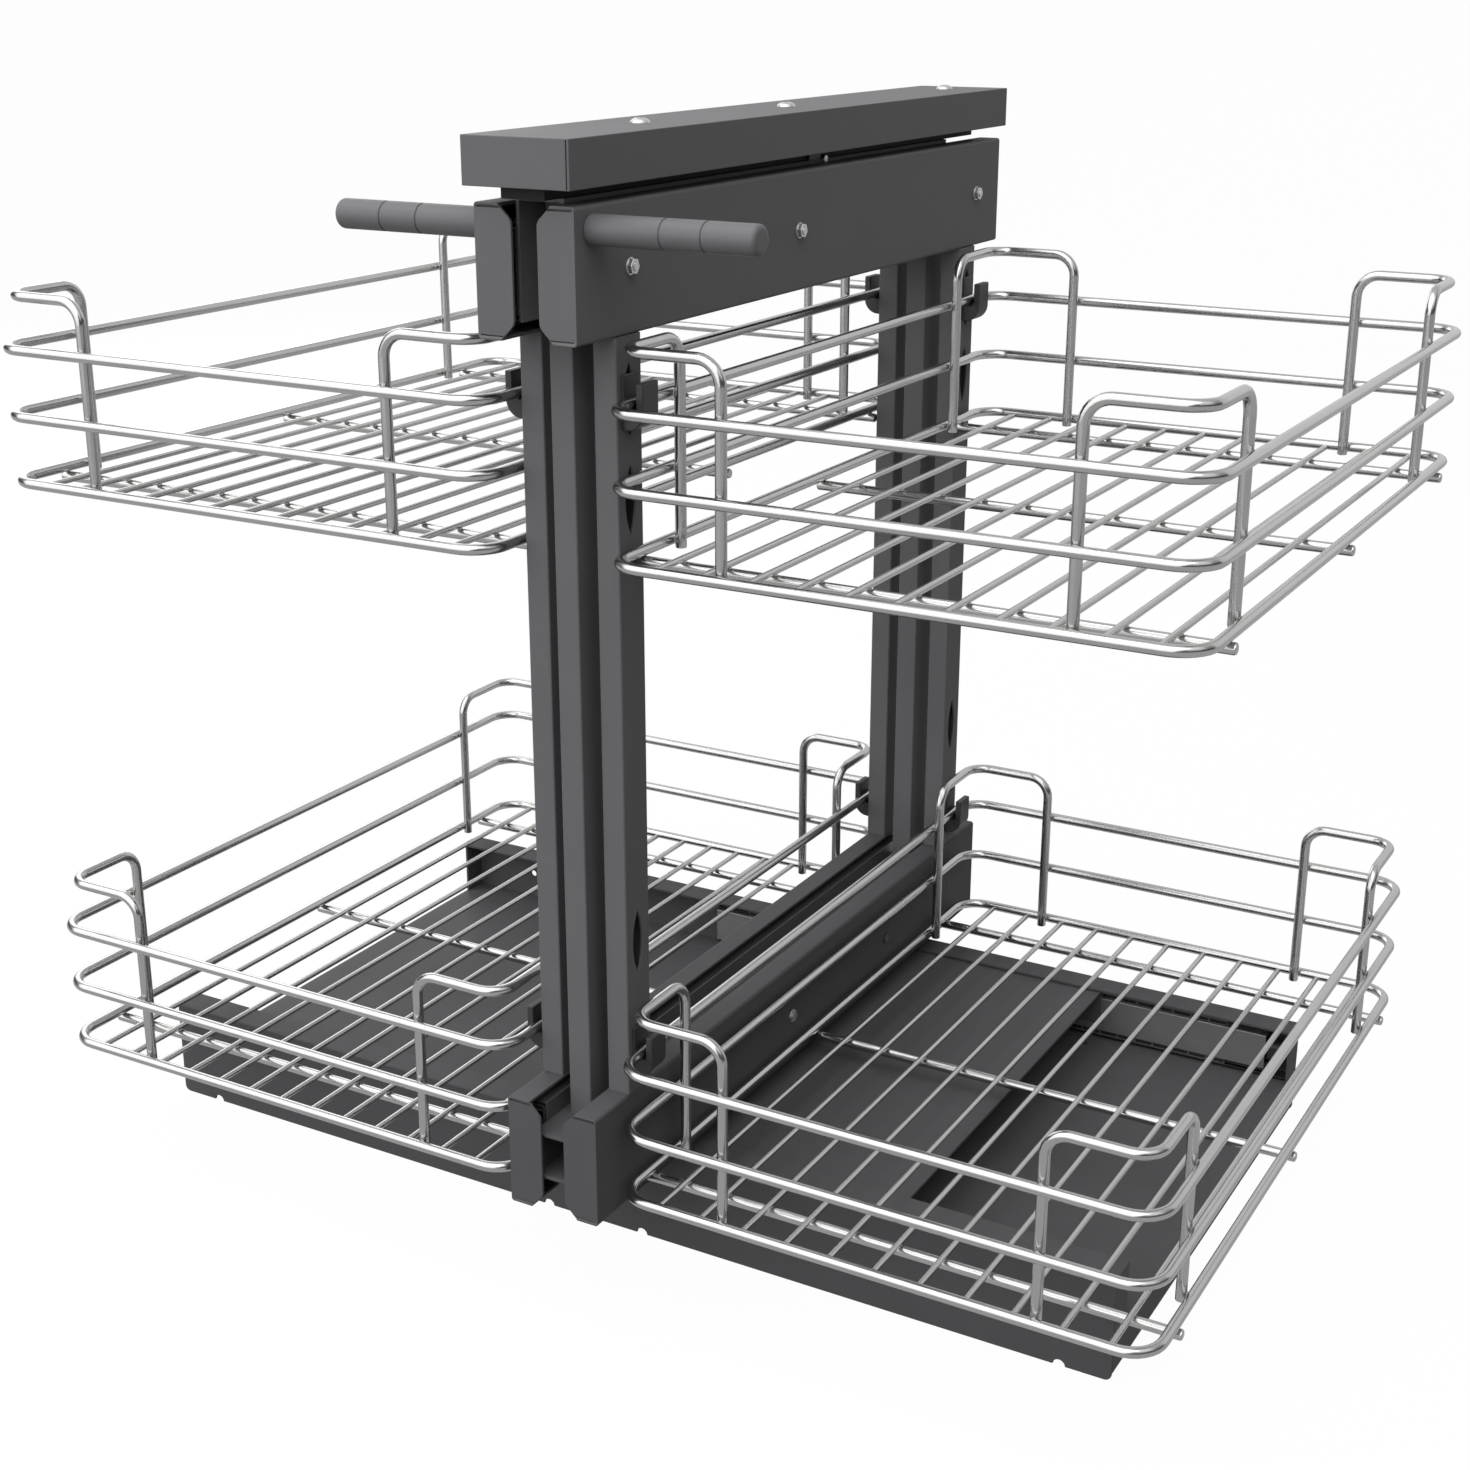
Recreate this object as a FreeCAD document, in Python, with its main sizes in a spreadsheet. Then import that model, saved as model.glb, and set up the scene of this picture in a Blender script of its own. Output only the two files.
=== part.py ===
"""Blind corner organizer: a sideways carriage with two pull-out frames and four wire baskets.

Axes: X to the right along the cabinet, Y to the back, Z up. The origin is the centre of the base's
four screw holes, on the cabinet floor that the base stands on. Everything is drawn closed, with the carriage at its
right end, as it stands when the cabinet door is shut.

Pieces of the base are drawn about the origin. Pieces of the carriage, the frames and the baskets are
drawn in the post frame, whose own zero is the middle plane of the post, the front face of the
beams and the underside of the bottom beams; their Placement carries them to the base.
"""
import FreeCAD, Part

import math
import os

import Sketcher

SIZES = (
    # Base
    ("base_length", 655.5, "base along the cabinet, X"),
    ("base_depth", 340.0, "base from front web to rear web, Y"),
    ("base_height", 64.0, "height of the base channels"),
    ("base_sheet", 1.6, "sheet of the base"),
    ("base_flange", 19.0, "top flange of the base channels, inwards"),
    ("base_corner", 4.0, "rounding of the lower ends of the base webs"),
    ("base_bend", 1.2, "outer rounding of the base's bends"),
    ("floor_rise", 25.5, "top of the floor pan above the underside"),
    ("relief_radius", 3.5, "half-round reliefs in the lower edge of the front web"),
    ("relief_near", 33.25, "inner pair of reliefs from the middle, X"),
    ("relief_far", 298.0, "outer pair of reliefs from the middle, X"),
    ("screw_hole", 5.0, "diameter of the screw holes in the floor pan"),
    ("screw_boss", 24.0, "round bosses at the screw holes, diameter"),
    ("screw_pitch_x", 380.0, "screw holes apart in X"),
    ("screw_pitch_y", 290.0, "screw holes apart in Y"),
    ("rivet_hole", 5.0, "diameter of the slide fixing holes in the rear web"),
    ("rivet_far", 275.75, "outer slide fixing hole left of the middle"),
    ("rivet_near", 102.75, "inner slide fixing hole left of the middle"),
    # Place of the post frame on the base
    ("post_offset", 37.25, "middle of the post right of the middle of the base"),
    ("front_overhang", 96.0, "front of the beams ahead of the base"),
    ("beam_clearance", 2.5, "bottom beams above the base"),
    # Lateral slides
    ("lateral_height", 34.0, "lateral slide, tall"),
    ("lateral_thickness", 13.0, "lateral slide, thick"),
    ("lateral_wall", 1.2, "sheet of the lateral slides"),
    ("lateral_race", 1.3, "gap for the balls between nested flanges"),
    ("lateral_side_gap", 0.5, "gap between nested webs and flange tips"),
    ("lateral_length", 413.0, "middle and inner rails"),
    ("lateral_overrun", 15.0, "outer rail past the others at the right end"),
    ("lateral_end_gap", 0.9, "outer rail to the base's right end wall"),
    ("bumper_gap", 0.8, "inner rail to bumper, carriage at its right end"),
    ("bumper_length", 9.0, "bumper along X"),
    ("bumper_height", 13.0, "bumper, tall"),
    ("bumper_chamfer", 2.0, "bevel of the bumper's free edges"),
    ("retainer_thickness", 0.7, "ball retainer strip"),
    ("retainer_inset", 26.5, "ball retainer strip short of each end of the middle rail"),
    # Carriage
    ("plate_sheet", 2.0, "carriage plate"),
    ("plate_clearance", 0.6, "carriage plate below the base flanges"),
    ("plate_flange", 24.0, "down-turned flanges of the carriage plate"),
    ("plate_right", 160.0, "right edge of the plate from the middle of the post"),
    ("plate_left", 28.0, "left edge of the plate from the middle of the post"),
    ("saddle_length", 60.0, "saddles along Y"),
    ("saddle_front", 34.0, "front saddle behind the base's front web"),
    ("saddle_rear", 26.0, "rear saddle ahead of the base's rear web"),
    ("post_half", 14.0, "half the width of centre tube and top channel"),
    ("post_wall", 2.0, "wall of centre tube and top channel"),
    ("tube_bottom", 18.0, "underside of the centre tube"),
    ("tube_top", 46.0, "top of the centre tube"),
    ("tube_rear", 38.0, "rear end of the centre tube ahead of the beams' rear ends"),
    ("middle_column_width", 13.8, "middle columns, X"),
    ("middle_column_depth", 24.2, "middle columns, Y"),
    ("middle_column_front", 28.4, "front face of the front middle column"),
    ("middle_column_rear", 61.2, "front face of the rear middle column, likewise"),
    ("column_wall", 1.5, "wall of all columns"),
    ("column_bevel", 0.6, "bevel of the column edges"),
    ("channel_bottom", 7.0, "lower edges of the top channel above the top beams' underside"),
    ("channel_height", 60.0, "top channel, tall"),
    ("channel_front", 14.0, "front end of the top channel"),
    ("channel_rear", 52.0, "rear end of the top channel ahead of the beams' rear ends"),
    ("spine_half", 12.5, "half the width of the spine bar"),
    ("spine_height", 5.6, "spine bar, tall"),
    ("spine_rear", 9.0, "rear end of the spine bar ahead of the beams' rear ends"),
    ("cover_half", 30.5, "half the width of the cover"),
    ("cover_height", 23.4, "cover, tall"),
    ("cover_sheet", 1.5, "sheet of the cover"),
    ("cover_front", 6.0, "cover ahead of the beams"),
    ("cover_rear", 4.5, "cover past the beams' rear ends"),
    ("cover_bevel", 1.2, "bevel of the cover's edges"),
    ("cover_slot_half", 9.0, "half the slot between the cover's lower flanges"),
    ("screw_head", 9.2, "heads of the cover screws"),
    ("screw_head_height", 2.6, "heads of the cover screws, tall"),
    ("screw_front", 105.0, "front cover screw behind the beams' front ends"),
    ("screw_middle", 240.0, "middle cover screw ahead of the beams' rear ends"),
    ("screw_rear", 26.0, "rear cover screw ahead of the beams' rear ends"),
    # Frame slides
    ("slide_height", 48.0, "frame slide, tall"),
    ("slide_wall", 1.2, "sheet of the frame slides"),
    ("slide_race", 1.5, "gap for the balls between nested flanges"),
    ("slide_side_gap", 0.5, "gap between nested webs and flange tips"),
    ("slide_front", 16.0, "front end of the frame slides"),
    ("slide_rear", 34.0, "rear end of the frame slides ahead of the beams' rear ends"),
    ("slide_low", 33.0, "middle of the bottom slides above the bottom beams' underside"),
    ("slide_high", 31.0, "middle of the top slides above the top beams' underside"),
    # Frames
    ("beam_length", 500.0, "beams, Y"),
    ("beam_height", 65.0, "beams, tall"),
    ("beam_outer", 28.5, "outer face of the beam web from the middle"),
    ("beam_sheet", 1.8, "sheet of the beams"),
    ("beam_round", 1.8, "outer rounding of the beams' bends"),
    ("flange_clearance", 0.6, "flange tips to the post"),
    ("top_beam_bottom", 477.0, "underside of the top beams"),
    ("front_plate_inner", 7.3, "inner edge of the front plates from the middle"),
    ("front_plate_chamfer", 8.0, "cut inner corners of the front plates"),
    ("front_plate_gap", 1.2, "front plates to the centre tube"),
    ("column_width", 13.5, "frame columns, X"),
    ("column_depth", 23.0, "frame columns, Y"),
    ("column_inset", 45.5, "middle of the columns from the beam ends"),
    ("slot_length", 37.0, "lens-shaped hook slots, tall"),
    ("slot_width", 10.0, "lens-shaped hook slots, wide"),
    ("hook_slot_lift", 0.9, "middle of a used slot above the rail in the hook"),
    ("spare_slot_low", 62.6, "spare slot above the lower rail that hangs in a hook"),
    ("spare_slot_high", 50.1, "spare slot below the upper rail that hangs in a hook"),
    ("handle_diameter", 15.0, "handle rod"),
    ("handle_end", 120.0, "free end of the handle from the middle"),
    ("handle_inset", 15.0, "handle axis behind the front plates"),
    ("handle_drop", 11.5, "handle axis below the top of the top beams"),
    ("handle_crown", 2.0, "bevel of the handle's end"),
    ("groove_near", 69.5, "first grip groove from the middle"),
    ("groove_far", 91.7, "second grip groove from the middle"),
    ("groove_width", 1.4, "grip grooves, wide"),
    ("groove_depth", 0.6, "grip grooves, deep"),
    # Hooks
    ("hook_width", 15.0, "hooks, Y"),
    ("hook_back", 1.4, "back plate of the hook"),
    ("hook_drop", 13.6, "lowest point of the hook below the rail's middle"),
    ("hook_back_top", 14.0, "top of the back plate above the rail's middle"),
    ("hook_prong", 4.0, "prong, thick"),
    ("hook_prong_top", 10.4, "top of the prong above the rail's middle"),
    ("hook_seat_gap", 0.3, "rail to hook seat and back plate"),
    ("hook_prong_gap", 0.6, "rail to prong"),
    ("hook_corner", 5.0, "rounding of the hook's lower outer corner"),
    ("hook_seat_cut", 1.2, "slanted corners of the hook's seat"),
    ("hook_tip_cut", 1.2, "slanted corners of the prong's top"),
    ("hook_nose", 4.5, "nose that passes through the slot, X"),
    ("hook_nose_height", 5.0, "nose, tall"),
    ("hook_nose_width", 6.0, "nose, Y"),
    # Baskets
    ("ring_wire", 6.0, "wire of the rings and corner loops"),
    ("ring_inner", 33.3, "inner rails from the middle"),
    ("ring_low", 13.4, "lowest ring of the lower baskets"),
    ("ring_pitch", 38.0, "rings apart"),
    ("ring_corner", 18.0, "corner radius of the rings"),
    ("ring_rear", 22.7, "rear rails ahead of the beams' rear ends"),
    ("right_outer", 336.8, "outer rails of the right baskets from the middle"),
    ("right_front", 13.9, "front rails of the right baskets"),
    ("left_outer", 366.5, "outer rails of the left baskets from the middle"),
    ("left_front", 4.3, "front rails of the left baskets"),
    ("basket_rise", 355.2, "upper baskets above the lower ones"),
    ("weld_gap", 0.05, "between wires that touch"),
    ("loop_foot", 7.0, "lower ends of the corner loops in the lower baskets"),
    ("loop_top", 120.0, "top run of the corner loops in the lower baskets"),
    ("loop_bend", 13.0, "bends at the top of the posts"),
    ("loop_corner", 14.0, "bend at the basket's corner"),
    ("loop_reach_inner", 68.0, "posts from the inner corners"),
    ("loop_reach_outer", 60.0, "posts from the outer corners"),
    ("floor_wire", 3.5, "floor wires"),
    ("right_wire_first", 56.8, "first floor wire of the right baskets"),
    ("right_wire_pitch", 25.8, "floor wires of the right baskets apart"),
    ("left_wire_first", 58.3, "first floor wire of the left baskets"),
    ("left_wire_pitch", 23.7, "floor wires of the left baskets apart"),
    ("cross_wire", 6.0, "cross wires under the floor"),
    ("cross_front", 50.0, "front cross wire"),
    ("cross_middle", 2.0, "middle cross wire ahead of the beams' middle"),
    ("cross_rear", 56.0, "rear cross wire ahead of the beams' rear ends"),
    ("cross_stand_off", 0.8, "cross wire ends to the beams' webs and columns"),
    ("cross_overrun", 4.2, "cross wires past the outer rails"),
)

RIGHT_WIRE_COUNT = 11
LEFT_WIRE_COUNT = 13
WIRE_SIDES = 6
HEAD_SIDES = 12
BEND_RUNS = 3
TURN_KINDS = ("Transformed", "Right corner", "Round corner")
SHEET = "Sizes"


class Size:
    """A length that knows its number and the sheet expression behind it."""

    def __init__(self, value, text):
        self.value = value
        self.text = text

    @staticmethod
    def of(other):
        if isinstance(other, Size):
            return other
        return Size(float(other), f"({float(other)!r})")

    def __add__(self, other):
        other = Size.of(other)
        return Size(self.value + other.value, f"({self.text} + {other.text})")

    def __radd__(self, other):
        return Size.of(other) + self

    def __sub__(self, other):
        other = Size.of(other)
        return Size(self.value - other.value, f"({self.text} - {other.text})")

    def __rsub__(self, other):
        return Size.of(other) - self

    def __mul__(self, other):
        other = Size.of(other)
        return Size(self.value * other.value, f"({self.text} * {other.text})")

    def __rmul__(self, other):
        return Size.of(other) * self

    def __truediv__(self, other):
        other = Size.of(other)
        return Size(self.value / other.value, f"({self.text} / {other.text})")

    def __neg__(self):
        return Size(-self.value, f"(0 - {self.text})")


def make_sheet(doc):
    """Writes the driving sizes to a spreadsheet and returns them by name."""
    sheet = doc.addObject("Spreadsheet::Sheet", SHEET)
    sizes = {}
    for row, (name, value, note) in enumerate(SIZES, start=1):
        sheet.set(f"A{row}", name)
        sheet.set(f"B{row}", str(value))
        sheet.set(f"C{row}", note)
        sheet.setAlias(f"B{row}", name)
        sizes[name] = Size(value, f"{SHEET}.{name}")
    doc.recompute()
    return sizes


doc = FreeCAD.newDocument("BlindCornerOrganizer")
size = make_sheet(doc)
nodes = []


# Places shared by several pieces

POST = (
    size["post_offset"],
    -(size["base_depth"] / 2 + size["front_overhang"]),
    size["base_height"] + size["beam_clearance"],
)
WEB_INNER = size["base_depth"] / 2 - size["base_sheet"]
LATERAL_MIDDLE = (size["floor_rise"] + size["base_height"] - size["base_sheet"]) / 2
OUTER_RIGHT = size["base_length"] / 2 - size["base_sheet"] - size["lateral_end_gap"]
LATERAL_RIGHT = OUTER_RIGHT - size["lateral_overrun"]
LATERAL_LEFT = LATERAL_RIGHT - size["lateral_length"]
PLATE_TOP = size["base_height"] - size["base_sheet"] - size["plate_clearance"]
PLATE_HALF = WEB_INNER - size["lateral_thickness"]
BEAM_INNER = size["beam_outer"] - size["beam_sheet"]
FLANGE_TIP = size["post_half"] + size["flange_clearance"]
TUBE_FRONT = size["beam_sheet"] + size["front_plate_gap"]
COLUMN_FOOT = size["beam_height"]
RING_TOP = size["ring_low"] + size["ring_pitch"] * 2
RING_REAR = size["beam_length"] - size["ring_rear"]
CHANNEL_BOTTOM = size["top_beam_bottom"] + size["channel_bottom"]
SPINE_BOTTOM = CHANNEL_BOTTOM + size["channel_height"]
COVER_BOTTOM = SPINE_BOTTOM + size["spine_height"]


def node(name, item):
    """Gives a finished sub-part its name and puts it on the export list."""
    item.Label = name
    nodes.append(item)
    return item


def place(item, where):
    """Binds an object's position to three sizes."""
    for axis, length in zip("xyz", where):
        item.setExpression(f"Placement.Base.{axis}", Size.of(length).text)


def body_at(name, where=None):
    """A new body, moved to a place where one is given."""
    body = doc.addObject("PartDesign::Body", name)
    if where:
        place(body, where)
    return body


def origin_plane(body, role):
    """The body's own origin plane of that role."""
    return next(item for item in body.Origin.OriginFeatures if item.Role == role)


def new_sketch(body, name, role, offset=None):
    """A sketch on one of the body's origin planes, moved along the plane's normal."""
    sketch = body.newObject("Sketcher::SketchObject", name)
    sketch.AttachmentSupport = (origin_plane(body, role), "")
    sketch.MapMode = "FlatFace"
    if offset is not None:
        sketch.AttachmentOffset = FreeCAD.Placement(
            FreeCAD.Vector(0, 0, offset.value), FreeCAD.Rotation()
        )
        sketch.setExpression("AttachmentOffset.Base.z", offset.text)
    return sketch


def bound(sketch, constraint, length):
    """Adds a measured constraint and binds it to a size."""
    index = sketch.addConstraint(constraint)
    sketch.setExpression(f"Constraints[{index}]", length.text)


def fix_point(sketch, geometry, end, where):
    """Fixes one end of a geometry by its two coordinates."""
    for kind, length in zip(("DistanceX", "DistanceY"), where):
        length = Size.of(length)
        bound(sketch, Sketcher.Constraint(kind, -1, 1, geometry, end, length.value), length)


def polygon(sketch, corners):
    """A closed straight-sided loop through corners given as pairs of sizes."""
    corners = [(Size.of(across), Size.of(up)) for across, up in corners]
    points = [FreeCAD.Vector(across.value, up.value, 0) for across, up in corners]
    first = sketch.GeometryCount
    count = len(points)
    for index, point in enumerate(points):
        sketch.addGeometry(Part.LineSegment(point, points[(index + 1) % count]), False)
    for index in range(count):
        following = first + (index + 1) % count
        sketch.addConstraint(Sketcher.Constraint("Coincident", first + index, 2, following, 1))
    for index, corner in enumerate(corners):
        fix_point(sketch, first + index, 1, corner)


def rectangle(sketch, left, bottom, right, top):
    """An upright rectangle between two corners."""
    polygon(sketch, [(left, bottom), (right, bottom), (right, top), (left, top)])


def circle(sketch, across, up, radius):
    """A circle given by its middle and radius."""
    across = Size.of(across)
    up = Size.of(up)
    middle = FreeCAD.Vector(across.value, up.value, 0)
    index = sketch.addGeometry(Part.Circle(middle, FreeCAD.Vector(0, 0, 1), radius.value), False)
    fix_point(sketch, index, 3, (across, up))
    bound(sketch, Sketcher.Constraint("Radius", index, radius.value), radius)


def pad(body, sketch, length, reverse=False, both_ways=False):
    """Extrudes a sketch of the body by a size."""
    feature = body.newObject("PartDesign::Pad", sketch.Name + "Pad")
    feature.Profile = sketch
    feature.Length = length.value
    feature.setExpression("Length", length.text)
    feature.Reversed = reverse
    feature.Midplane = both_ways
    return feature


def pocket(body, sketch, length=None, reverse=False):
    """Cuts a sketch into the body, by a size or through all of it in both directions."""
    feature = body.newObject("PartDesign::Pocket", sketch.Name + "Pocket")
    feature.Profile = sketch
    if length is None:
        feature.Type = "ThroughAll"
        feature.Midplane = True
    else:
        feature.Length = length.value
        feature.setExpression("Length", length.text)
        feature.Reversed = reverse
    return feature


def picked_edges(body, base, picked):
    """Names of the edges of a feature that the test picks, in the body's own coordinates."""
    doc.recompute()
    names = [f"Edge{index}" for index, edge in enumerate(base.Shape.Edges, 1) if picked(edge)]
    if not names:
        raise RuntimeError(f"no edge to dress on {body.Name}")
    return names


def round_edges(body, base, radius, picked):
    """Rounds the picked edges of a feature."""
    names = picked_edges(body, base, picked)
    feature = body.newObject("PartDesign::Fillet", base.Name + "Round")
    feature.Base = (base, names)
    feature.Radius = radius.value
    feature.setExpression("Radius", radius.text)
    body.Tip = feature
    return feature


def bevel_edges(body, base, length, picked):
    """Bevels the picked edges of a feature."""
    names = picked_edges(body, base, picked)
    feature = body.newObject("PartDesign::Chamfer", base.Name + "Bevel")
    feature.Base = (base, names)
    feature.Size = length.value
    feature.setExpression("Size", length.text)
    body.Tip = feature
    return feature


def runs_along(edge, axis):
    """True for a straight edge along a coordinate axis."""
    if not isinstance(edge.Curve, Part.Line):
        return False
    return abs(abs(edge.Curve.Direction.dot(axis)) - 1) < 1e-6


def near(value, length):
    """True where a coordinate is that size."""
    return abs(value - Size.of(length).value) < 0.01


ALONG_X = FreeCAD.Vector(1, 0, 0)
ALONG_Y = FreeCAD.Vector(0, 1, 0)
ALONG_Z = FreeCAD.Vector(0, 0, 1)


def bar_along_y(name, where, corners, front, rear, inner=None):
    """A section in XZ drawn out along Y from front to rear, with an optional hollow."""
    body = body_at(name, where)
    sketch = new_sketch(body, name + "Section", "XZ_Plane", -Size.of(front))
    polygon(sketch, corners)
    if inner:
        polygon(sketch, inner)
    pad(body, sketch, rear - front, reverse=True)
    return body


def bar_along_x(name, corners, left, right):
    """A section in YZ drawn out along X from left to right, about the base's own zero."""
    body = body_at(name)
    sketch = new_sketch(body, name + "Section", "YZ_Plane", Size.of(left))
    polygon(sketch, corners)
    pad(body, sketch, right - left)
    return body


def c_section(web, inside, tip, low, high, sheet):
    """The eight corners of a C: outer face of the web, its inner face, and the flange tips."""
    return [
        (web, low),
        (tip, low),
        (tip, low + sheet),
        (inside, low + sheet),
        (inside, high - sheet),
        (tip, high - sheet),
        (tip, high),
        (web, high),
    ]


def box_corners(left, bottom, right, top):
    """The four corners of an upright rectangle."""
    return [(left, bottom), (right, bottom), (right, top), (left, top)]


def mirrored(name, source, normal, base=None):
    """The mirror image of a finished piece across a plane."""
    image = doc.addObject("Part::Mirroring", name)
    image.Source = source
    image.Normal = normal
    if base is not None:
        image.setExpression("Base.x", base.text)
    return node(name, image)


def grouped(name, items):
    """Several solids of one sub-part in one node."""
    group = doc.addObject("Part::Compound", name)
    group.Links = items
    return node(name, group)


# Base

def screw_circles(body, name, radius):
    """A sketch with a circle round each of the four screw places."""
    sketch = new_sketch(body, name, "XY_Plane")
    for across in (-1, 1):
        for back in (-1, 1):
            middle = (size["screw_pitch_x"] * (across / 2), size["screw_pitch_y"] * (back / 2))
            circle(sketch, *middle, radius)
    return sketch


def floor_pan():
    """Floor sheet with two end walls and four screw bosses that stand on the cabinet floor."""
    half = size["base_length"] / 2
    sheet = size["base_sheet"]
    foot = size["base_corner"]
    top = size["floor_rise"]
    body = body_at("floor_pan_body")
    section = new_sketch(body, "PanSection", "XZ_Plane")
    polygon(section, [
        (-half, foot),
        (-half + sheet, foot),
        (-half + sheet, top - sheet),
        (half - sheet, top - sheet),
        (half - sheet, foot),
        (half, foot),
        (half, top),
        (-half, top),
    ])
    pad(body, section, WEB_INNER * 2, both_ways=True)
    pad(body, screw_circles(body, "PanBosses", size["screw_boss"] / 2), top - sheet)
    pocket(body, screw_circles(body, "PanHoles", size["screw_hole"] / 2))
    return node("base_floor_pan", body)


def base_channel(name, side):
    """Front (side -1) or rear (side 1) channel: web, top flange and closed ends."""
    half = size["base_length"] / 2
    web = size["base_depth"] / 2 * side
    inside = WEB_INNER * side
    lip = (size["base_depth"] / 2 - size["base_flange"]) * side
    top = size["base_height"]
    sheet = size["base_sheet"]
    body = body_at(name + "_body")
    section = new_sketch(body, name + "Section", "YZ_Plane")
    polygon(section, [
        (web, 0),
        (web, top),
        (lip, top),
        (lip, top - sheet),
        (inside, top - sheet),
        (inside, 0),
    ])
    web_pad = pad(body, section, size["base_length"], both_ways=True)
    rounded = round_edges(
        body, web_pad, size["base_corner"],
        lambda edge: runs_along(edge, ALONG_Y) and near(edge.CenterOfMass.z, 0),
    )
    round_edges(
        body, rounded, size["base_bend"],
        lambda edge: runs_along(edge, ALONG_X)
        and near(edge.CenterOfMass.z, top) and near(edge.CenterOfMass.y, web),
    )
    end = new_sketch(body, name + "End", "YZ_Plane", half - sheet)
    low = size["floor_rise"]
    polygon(end, [(inside, low), (inside, top - sheet), (lip, top - sheet), (lip, low)])
    end_pad = pad(body, end, sheet)
    pair = body.newObject("PartDesign::Mirrored", name + "EndPair")
    pair.Originals = [end_pad]
    pair.MirrorPlane = (origin_plane(body, "YZ_Plane"), [""])
    body.Tip = pair
    holes = new_sketch(body, name + "Holes", "XZ_Plane")
    if side < 0:
        for reach in ("relief_near", "relief_far"):
            for turn in (-1, 1):
                circle(holes, size[reach] * turn, 0, size["relief_radius"])
    else:
        for reach in ("rivet_near", "rivet_far"):
            circle(holes, -size[reach], LATERAL_MIDDLE, size["rivet_hole"] / 2)
    pocket(body, holes)
    return node(name, body)


# Lateral slides, drawn at the rear and mirrored to the front

def lateral_levels(step):
    """Lower and upper face of the step-th nested member: 0 outer, 1 middle, 2 inner."""
    shrink = (size["lateral_wall"] + size["lateral_race"]) * step
    low = LATERAL_MIDDLE - size["lateral_height"] / 2 + shrink
    high = LATERAL_MIDDLE + size["lateral_height"] / 2 - shrink
    return low, high


def lateral_rail(name, step):
    """One member of the rear lateral slide."""
    low, high = lateral_levels(step)
    wall = size["lateral_wall"]
    gap = size["lateral_side_gap"]
    web = WEB_INNER - (wall + gap) * step
    tip = WEB_INNER - size["lateral_thickness"] + wall + gap
    right = OUTER_RIGHT if step == 0 else LATERAL_RIGHT
    if step == 2:
        web = WEB_INNER - size["lateral_thickness"]
        tip = WEB_INNER - (wall + gap) * 2
        corners = c_section(web, web + wall, tip, low, high, wall)
    else:
        corners = c_section(web, web - wall, tip, low, high, wall)
    return bar_along_x(name, corners, LATERAL_LEFT, right)


def bumper():
    """Bevelled end stop on the outer rail of the rear lateral slide."""
    back = WEB_INNER - size["lateral_wall"]
    front = WEB_INNER - size["lateral_thickness"] + size["lateral_wall"]
    cut = size["bumper_chamfer"]
    half = size["bumper_height"] / 2
    left = LATERAL_RIGHT + size["bumper_gap"]
    corners = [
        (back, LATERAL_MIDDLE - half),
        (back, LATERAL_MIDDLE + half),
        (front + cut, LATERAL_MIDDLE + half),
        (front, LATERAL_MIDDLE + half - cut),
        (front, LATERAL_MIDDLE - half + cut),
        (front + cut, LATERAL_MIDDLE - half),
    ]
    return bar_along_x("rear_bumper", corners, left, left + size["bumper_length"])


def retainer_strips():
    """Upper and lower ball retainer of the rear lateral slide, on the middle rail's flanges."""
    low, high = lateral_levels(1)
    thick = size["retainer_thickness"]
    gap = size["lateral_wall"] + size["lateral_side_gap"]
    near_web = WEB_INNER - gap
    tip = WEB_INNER - size["lateral_thickness"] + gap
    left = LATERAL_LEFT + size["retainer_inset"]
    right = LATERAL_RIGHT - size["retainer_inset"]
    strips = []
    for name, bottom in (("UpperRetainer", high), ("LowerRetainer", low - thick)):
        corners = box_corners(tip, bottom, near_web, bottom + thick)
        strips.append(bar_along_x(name, corners, left, right))
    return strips


def lateral_slides():
    """Both lateral slides with their bumpers and ball retainers."""
    for step, kind in enumerate(("outer", "middle", "inner")):
        rear = lateral_rail(f"lateral_rear_{kind}", step)
        node(f"lateral_rear_{kind}_rail", rear)
        mirrored(f"lateral_front_{kind}_rail", rear, ALONG_Y)
    for name, sources in (
        ("lateral_bumpers", [bumper()]),
        ("lateral_ball_retainers", retainer_strips()),
    ):
        images = []
        for source in sources:
            image = doc.addObject("Part::Mirroring", source.Name + "Image")
            image.Source = source
            image.Normal = ALONG_Y
            images.append(image)
        grouped(name, sources + images)


# Carriage

def carriage_plate():
    """Plate between the lateral slides, with a flange down to each inner rail."""
    half = PLATE_HALF
    sheet = size["plate_sheet"]
    low = PLATE_TOP - size["plate_flange"]
    corners = [
        (-half, low),
        (-half + sheet, low),
        (-half + sheet, PLATE_TOP - sheet),
        (half - sheet, PLATE_TOP - sheet),
        (half - sheet, low),
        (half, low),
        (half, PLATE_TOP),
        (-half, PLATE_TOP),
    ]
    left = size["post_offset"] - size["plate_left"]
    right = size["post_offset"] + size["plate_right"]
    return node("carriage_plate", bar_along_x("carriage_plate_body", corners, left, right))


def saddles():
    """Two short tubes that carry the centre tube on the plate, between the bottom beams."""
    half = size["post_half"]
    wall = size["post_wall"]
    low = PLATE_TOP - POST[2]
    high = size["tube_bottom"]
    length = size["saddle_length"]
    places = (
        ("front_saddle", size["front_overhang"] + size["saddle_front"]),
        ("rear_saddle", size["front_overhang"] + size["base_depth"] - size["saddle_rear"] - length),
    )
    pieces = []
    for name, front in places:
        pieces.append(bar_along_y(
            name, POST,
            box_corners(-half, low, half, high), front, front + length,
            box_corners(-half + wall, low + wall, half - wall, high - wall),
        ))
    return grouped("beam_saddles", pieces)


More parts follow.
